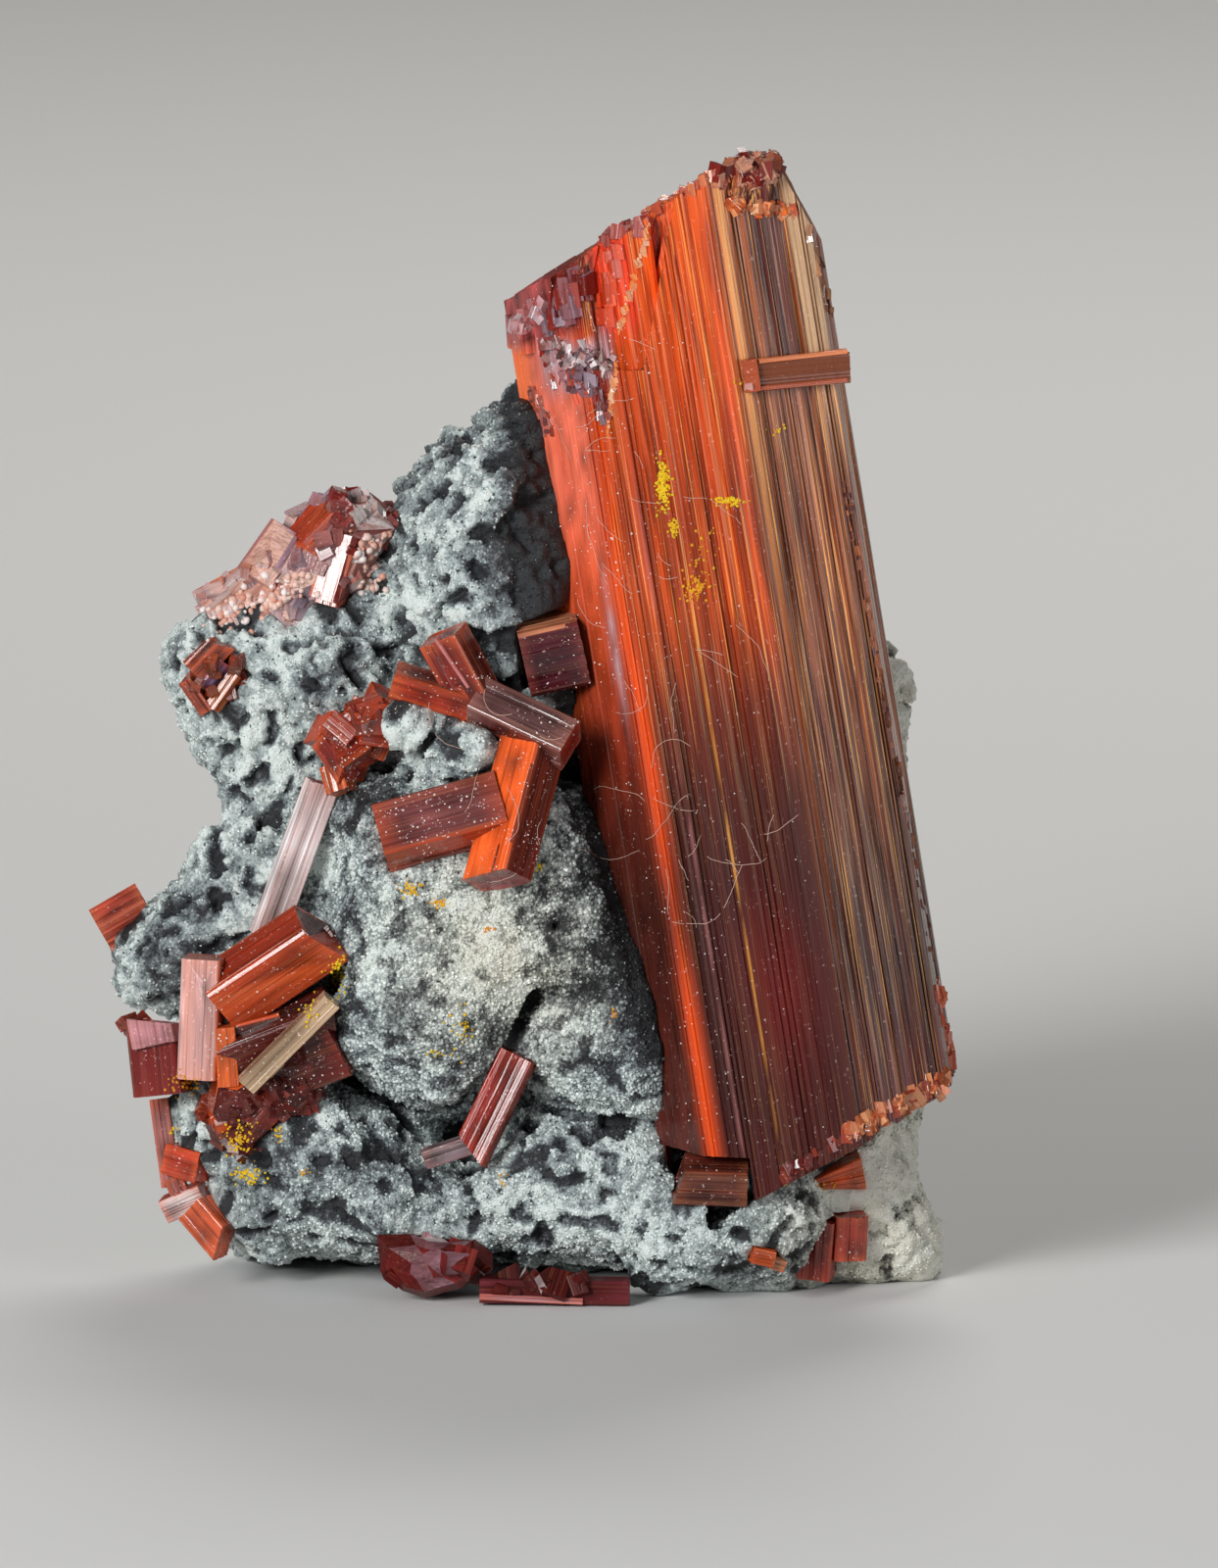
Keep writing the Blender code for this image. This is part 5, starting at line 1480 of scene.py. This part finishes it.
# The bar grown across the right face has a dark end, a painted glint, a painted highlight along its top
# and a painted shadow along its lower edge, each a bar of its own.
CROSS_BAR = [
    ((8.7, 36.35, -8.1), (9.3, 36.45, -8.0), 1.35, 0.5, dict(bands=1, rows=1),
     dict(all=(0.08, 0.01, 0.009))),
    ((8.75, 36.0, -8.2), (9.1, 36.0, -8.2), 0.3, 0.4, dict(roll=30, bands=1, rows=1), dict(all=PAINTED_GLINT)),
    ((9.3, 36.98, -8.0), (12.9, 37.4, -6.75), 0.2, 0.3, dict(bands=1, rows=2),
     dict(all=(0.75, 0.3, 0.1))),
    ((9.3, 35.88, -8.0), (12.9, 36.25, -6.75), 0.2, 0.3, dict(bands=1, rows=2),
     dict(all=(0.07, 0.012, 0.01))),
]
chips = pile_up("main_crystal_chips", CHIPS + CROSS_BAR)
cover_with(chips, pink_realgar)
finish_piece(chips, "orange_realgar")


# ------------------------------------------------------------------------------ powder and dust
# Realgar turns to a yellow powder in light, and a little of it clings to the rock and the main
# crystal. Fine pale dust and flakes lie on the crystals, as on any old specimen.

# Motes on the main crystal and on the corner cluster, and clumps of them on the crossed crystals.
MAIN_MOTES = 420
CLUSTER_MOTES = 70
CLUMPS = 90

# Clots of powder: (across, height) and its spread, their number of grains, and how orange they are.
POWDER_SPOTS = [
    ((-7.8, 12.1), (0.2, 0.45), 110, 0), ((-4.8, 15.6), (0.25, 0.15), 50, 0.3),
    ((-3.7, 15.0), (0.2, 0.1), 30, 0.5), ((-1.6, 14.0), (0.1, 0.1), 7, 0.8),
    ((-3.8, 8.9), (0.35, 0.1), 18, 0), ((-2.6, 9.9), (0.35, 0.4), 34, 0.1),
    ((-11.4, 3.9), (0.3, 0.15), 70, 0.1), ((-9.1, 4.0), (0.12, 0.1), 8, 0.5),
    ((-11.8, 5.4), (0.3, 0.35), 90, 0.3), ((-14.5, 5.6), (0.12, 0.2), 10, 0),
    ((-10.2, 5.6), (0.2, 0.2), 16, 0.2), ((-1.0, 3.8), (0.12, 0.15), 9, 0.5),
    ((-8.8, 10.6), (0.2, 0.3), 22, 0.1), ((12.0, 3.4), (0.25, 0.15), 10, 0.6),
    ((3.4, 10.6), (0.1, 0.25), 8, 0.8), ((-14.0, 7.7), (0.4, 0.3), 40, 0.7),
    ((0.4, 16.5), (0.1, 0.1), 12, 0), ((5.45, 31.9), (0.13, 0.5), 210, 0),
    ((5.9, 30.2), (0.1, 0.18), 50, 0.2), ((8.1, 31.3), (0.28, 0.1), 90, 0.1),
    ((6.8, 27.8), (0.25, 0.3), 90, 0.6), ((10.2, 34.2), (0.25, 0.08), 12, 0.3),
    ((8.7, 36.0), (0.15, 0.1), 9, 0.4), ((7.2, 29.4), (0.35, 0.5), 26, 0.7),
]
# Pale flakes on the crystals: (across, height) and its spread, their number, and how pale they are.
FLAKE_SPOTS = [
    ((-3.9, 19.0), (1.2, 0.5), 60, 0.8), ((-4.7, 17.8), (0.7, 0.3), 16, 0.6),
    ((-1.6, 17.9), (0.5, 1.2), 16, 0.3), ((0.6, 22.0), (0.9, 0.4), 22, 0.5),
    ((-3.3, 24.4), (0.6, 0.8), 22, 0.7), ((-7.2, 21.3), (0.7, 0.9), 50, 0.8),
    ((-10.0, 10.6), (1.0, 1.0), 30, 0.4), ((-12.7, 11.0), (0.4, 1.6), 40, 0.9),
    ((-9.3, 7.6), (1.0, 0.8), 30, 0.3), ((-14.3, 3.4), (0.4, 0.8), 16, 0.8),
    ((3.0, 27.0), (0.8, 4.0), 60, 0.7), ((2.6, 37.2), (1.2, 1.4), 40, 0.7),
    ((-0.9, 6.6), (0.4, 0.9), 10, 0.4), ((7.4, 4.0), (1.0, 0.4), 14, 0.5),
    ((12.0, 1.4), (0.7, 0.5), 10, 0.4),
]

ball = bmesh.new()
bmesh.ops.create_icosphere(ball, subdivisions=1, radius=1)
GRAIN_CORNERS = [vert.co.copy() for vert in ball.verts]
GRAIN_FACETS = [[vert.index for vert in facet.verts] for facet in ball.faces]
ball.free()


def grain_shape(corners, facets, spot, radius, rng):
    """An uneven grain of twenty faces added to lists of corners and facets; its corner count."""
    angle = rng.uniform(0, math.tau)
    axis = Vector([rng.uniform(-1, 1) for _ in range(3)]).normalized()
    turn = Matrix.Rotation(angle, 3, axis)
    start = len(corners)
    for corner in GRAIN_CORNERS:
        corners.append((spot + turn @ (corner * rng.uniform(0.75, 1.25)) * radius) * MM)
    facets.extend([start + index for index in facet] for facet in GRAIN_FACETS)
    return len(GRAIN_CORNERS)


def loose_material(name, colours, roughness):
    """Powder or dust: a colour for each grain out of a few, by its tone."""
    material, tree, shader = new_material(name)
    link(tree, colour_ramp(tree, attribute_node(tree, "tone"), colours), shader.inputs["Base Color"])
    shader.inputs["Roughness"].default_value = roughness
    shader.inputs["Specular IOR Level"].default_value = 0.2
    return material


# Search trees over the rock's skin and all crystals, which powder, dust, froth and lint lie on.
bodies = [obj for obj in bpy.context.scene.objects if obj.type == "MESH" and obj.name.endswith("_body")]
bodies += [obj for obj in bpy.context.scene.objects if obj.name.startswith("rock_skin")]
body_trees = [BVHTree.FromObject(obj, bpy.context.evaluated_depsgraph_get()) for obj in bodies]


def strike_any(across, height):
    """The first of all surfaces that a line of sight meets."""
    hits = [strike(tree, across, height) for tree in body_trees]
    hits = [hit for hit in hits if hit]
    return min(hits, key=lambda hit: hit[0].y - hit[0].z * math.tan(SIGHT), default=None)


def sprinkle(name, places, radii, material, seed, slot="quartz_coated_rock", smooth=False, proud=0.3):
    """Grains of a range of radii in mm, where lines of sight through the places meet the specimen."""
    rng = random.Random(seed)
    corners = []
    facets = []
    tones = []
    for across, height, tone in places:
        hit = strike_any(across, height)
        if hit:
            radius = rng.uniform(*radii)
            spot = hit[0] + hit[1] * radius * proud
            tones.extend([tone] * grain_shape(corners, facets, spot, radius, rng))
    mesh = bpy.data.meshes.new(name)
    mesh.from_pydata(corners, [], facets)
    paint_values(mesh, "tone", tones)
    if smooth:
        mesh.shade_smooth()
    obj = add_object(name, mesh)
    cover_with(obj, material)
    finish_piece(obj, slot)


def strewn(spots, seed):
    """Places and tones round the middles of the spots."""
    rng = random.Random(seed)
    for middle, spread, count, tone in spots:
        for _ in range(count):
            yield (rng.gauss(middle[0], spread[0]), rng.gauss(middle[1], spread[1]),
                   min(1, max(0, tone + rng.uniform(-0.2, 0.2))))


def dust_places(seed):
    """Dust lies thickest on the main crystal's left and on the crossed crystals."""
    rng = random.Random(seed)
    for _ in range(MAIN_MOTES):
        height = rng.uniform(5, 41)
        across = 0.3 + left_edge(height, 0.19) + abs(rng.gauss(0, 2.6))
        yield across, height, rng.random()
    for _ in range(CLUMPS):
        across = rng.uniform(-8, 2.5)
        height = rng.uniform(15.5, 26)
        for _ in range(rng.randint(1, 9)):
            yield rng.gauss(across, 0.16), rng.gauss(height, 0.16), rng.random()
    for _ in range(CLUSTER_MOTES):
        yield rng.uniform(-13, -7.5), rng.uniform(5, 14.5), rng.random()


# Powder from yellow to orange, and dust from pinkish to white, by tone.
POWDER_TINTS = [(0, (0.80, 0.56, 0.02)), (0.5, (0.75, 0.38, 0.02)), (1, (0.7, 0.2, 0.02))]
DUST_TINTS = [(0, (0.75, 0.6, 0.55)), (1, (0.9, 0.86, 0.82))]
powder = loose_material("powder", POWDER_TINTS, 0.8)
dust = loose_material("dust", DUST_TINTS, 0.6)
sprinkle("yellow_powder", strewn(POWDER_SPOTS, 7), (0.03, 0.075), powder, 8)
sprinkle("pale_dust", dust_places(17), (0.012, 0.035), dust, 18)
sprinkle("pale_flakes", strewn(FLAKE_SPOTS, 23), (0.02, 0.055), dust, 24, proud=-0.35)


# ------------------------------------------------------------------------------ froth
# The shoulder crust ends in froth: blebs of glassy realgar and quartz less than half a millimetre
# across, grown along its lower left and down its right side.

LEFT_BLEBS = 110
RIGHT_BLEBS = 50
FROTH_TINTS = [(0, (0.7, 0.3, 0.2)), (0.5, (0.8, 0.55, 0.47)), (1, (0.92, 0.85, 0.82))]


def froth_places(seed):
    """Places and tones of the blebs of both sides."""
    rng = random.Random(seed)
    for _ in range(LEFT_BLEBS):
        share = rng.random()
        yield -12.9 + 3.6 * share + rng.gauss(0, 0.35), 26.5 + 1.5 * share + rng.gauss(0, 0.4), rng.random()
    for _ in range(RIGHT_BLEBS):
        yield rng.gauss(-6.5, 0.35), rng.uniform(27.6, 30.2), rng.random()


froth = loose_material("froth", FROTH_TINTS, 0.3)
sprinkle("crust_froth", froth_places(19), (0.08, 0.2), froth, 20, "pink_red_realgar", smooth=True,
         proud=-0.1)


# ------------------------------------------------------------------------------ lint
# Threads of cloth fibre cling to a specimen that has been handled. They are thinner than a hair,
# and each lies curled over the surfaces below it.

THREADS = 54
THREAD_RADIUS = 0.011
# The step that a thread takes between its bends.
THREAD_STEP = 0.16
# A thread of fewer points is left out, and so is one with a longer leap between two of them.
FEWEST_POINTS = 5
LONGEST_LEAP = 0.6


def thread_points(rng):
    """Points in mm of a thread that starts by the main crystal, or one in four by the crossed ones."""
    height = rng.uniform(14, 40)
    across = 0.8 + left_edge(height, 0.19) + abs(rng.gauss(0, 3.0))
    if rng.random() < 0.25:
        height = rng.uniform(16, 26)
        across = rng.uniform(-7, 2)
    heading = rng.uniform(0, math.tau)
    bend = rng.uniform(-0.16, 0.16)
    points = []
    for _ in range(rng.randint(6, 18)):
        hit = strike_any(across, height)
        if not hit:
            break
        points.append(hit[0] + hit[1] * 0.03 - TOWARD_BACK * rng.uniform(0.0, 0.03))
        across += math.cos(heading) * THREAD_STEP
        height += math.sin(heading) * THREAD_STEP
        heading += bend + rng.uniform(-0.22, 0.22)
    return points


def lay_lint():
    """Threads as curves made into one mesh, without those that are short or leap a gap."""
    rng = random.Random(77)
    curve = bpy.data.curves.new("lint", "CURVE")
    curve.dimensions = "3D"
    curve.bevel_depth = THREAD_RADIUS * MM
    curve.bevel_resolution = 0
    for _ in range(THREADS):
        points = thread_points(rng)
        runs = zip(points, points[1:])
        if len(points) < FEWEST_POINTS or any((end - start).length > LONGEST_LEAP for start, end in runs):
            continue
        thread = curve.splines.new("POLY")
        thread.points.add(len(points) - 1)
        for point, spot in zip(thread.points, points):
            point.co = (*(spot * MM), 1)
    curve_object = add_object("lint_curve", curve)
    graph = bpy.context.evaluated_depsgraph_get()
    mesh = bpy.data.meshes.new_from_object(curve_object.evaluated_get(graph))
    bpy.data.objects.remove(curve_object, do_unlink=True)
    lint = add_object("lint", mesh)
    cover_with(lint, plain_material("lint_fibre", (0.75, 0.5, 0.4), 0.7, 0.2))
    finish_piece(lint, "quartz_coated_rock")


lay_lint()


# ------------------------------------------------------------------------------ studio
# A plain pale floor, one large soft light from the upper left, a weak fill from the right and a
# soft one from behind the top. The camera stands in front, ten degrees above the horizon.

# In metres: how far off the camera stands, how tall a piece of the scene fills its frame, and the
# middle of that.
CAMERA_DISTANCE = 1.5
FRAME_HEIGHT = 0.064
FRAME_MIDDLE = (0.00326, 0, 0.020146)
# Where the lights point, in metres.
LIT_MIDDLE = (0.002, -0.004, 0.022)


def soft_light(name, place, size, power, colour=(1, 1, 1)):
    """A rectangular lamp turned to the middle of the specimen; its power is in watts."""
    lamp = bpy.data.lights.new(name, "AREA")
    lamp.shape = "RECTANGLE"
    lamp.size = size[0]
    lamp.size_y = size[1]
    lamp.energy = power
    lamp.color = colour
    obj = add_object(name, lamp)
    obj.location = place
    obj.rotation_euler = (Vector(LIT_MIDDLE) - Vector(place)).to_track_quat("-Z", "Y").to_euler()


def build_studio():
    bm = bmesh.new()
    bmesh.ops.create_grid(bm, x_segments=1, y_segments=1, size=6)
    floor = add_object("floor", mesh_of(bm, "floor"))
    cover_with(floor, plain_material("pale_floor", (0.78, 0.78, 0.77), 0.9, 0.1))

    soft_light("key", (-0.28, -0.45, 0.22), (0.18, 0.18), 2.75)
    soft_light("fill", (0.38, -0.36, 0.14), (0.25, 0.2), 0.5, (0.93, 0.96, 1))
    soft_light("rim", (0.06, 0.28, 0.30), (0.2, 0.12), 0.6, (1, 0.96, 0.9))

    world = bpy.data.worlds.new("studio")
    bpy.context.scene.world = world
    world.use_nodes = True
    world.node_tree.nodes["Background"].inputs["Color"].default_value = (0.9, 0.95, 1, 1)
    world.node_tree.nodes["Background"].inputs["Strength"].default_value = 0.1

    camera = bpy.data.cameras.new("camera")
    camera.sensor_width = 36
    camera.lens = camera.sensor_width * CAMERA_DISTANCE / FRAME_HEIGHT
    camera.clip_start = 0.01
    camera.clip_end = 20
    obj = add_object("camera", camera)
    back = Vector((0, -math.cos(SIGHT), math.sin(SIGHT)))
    obj.location = Vector(FRAME_MIDDLE) + back * CAMERA_DISTANCE
    obj.rotation_euler = (-back).to_track_quat("-Z", "Y").to_euler()
    bpy.context.scene.camera = obj
    bpy.context.scene.view_settings.view_transform = "Standard"


build_studio()
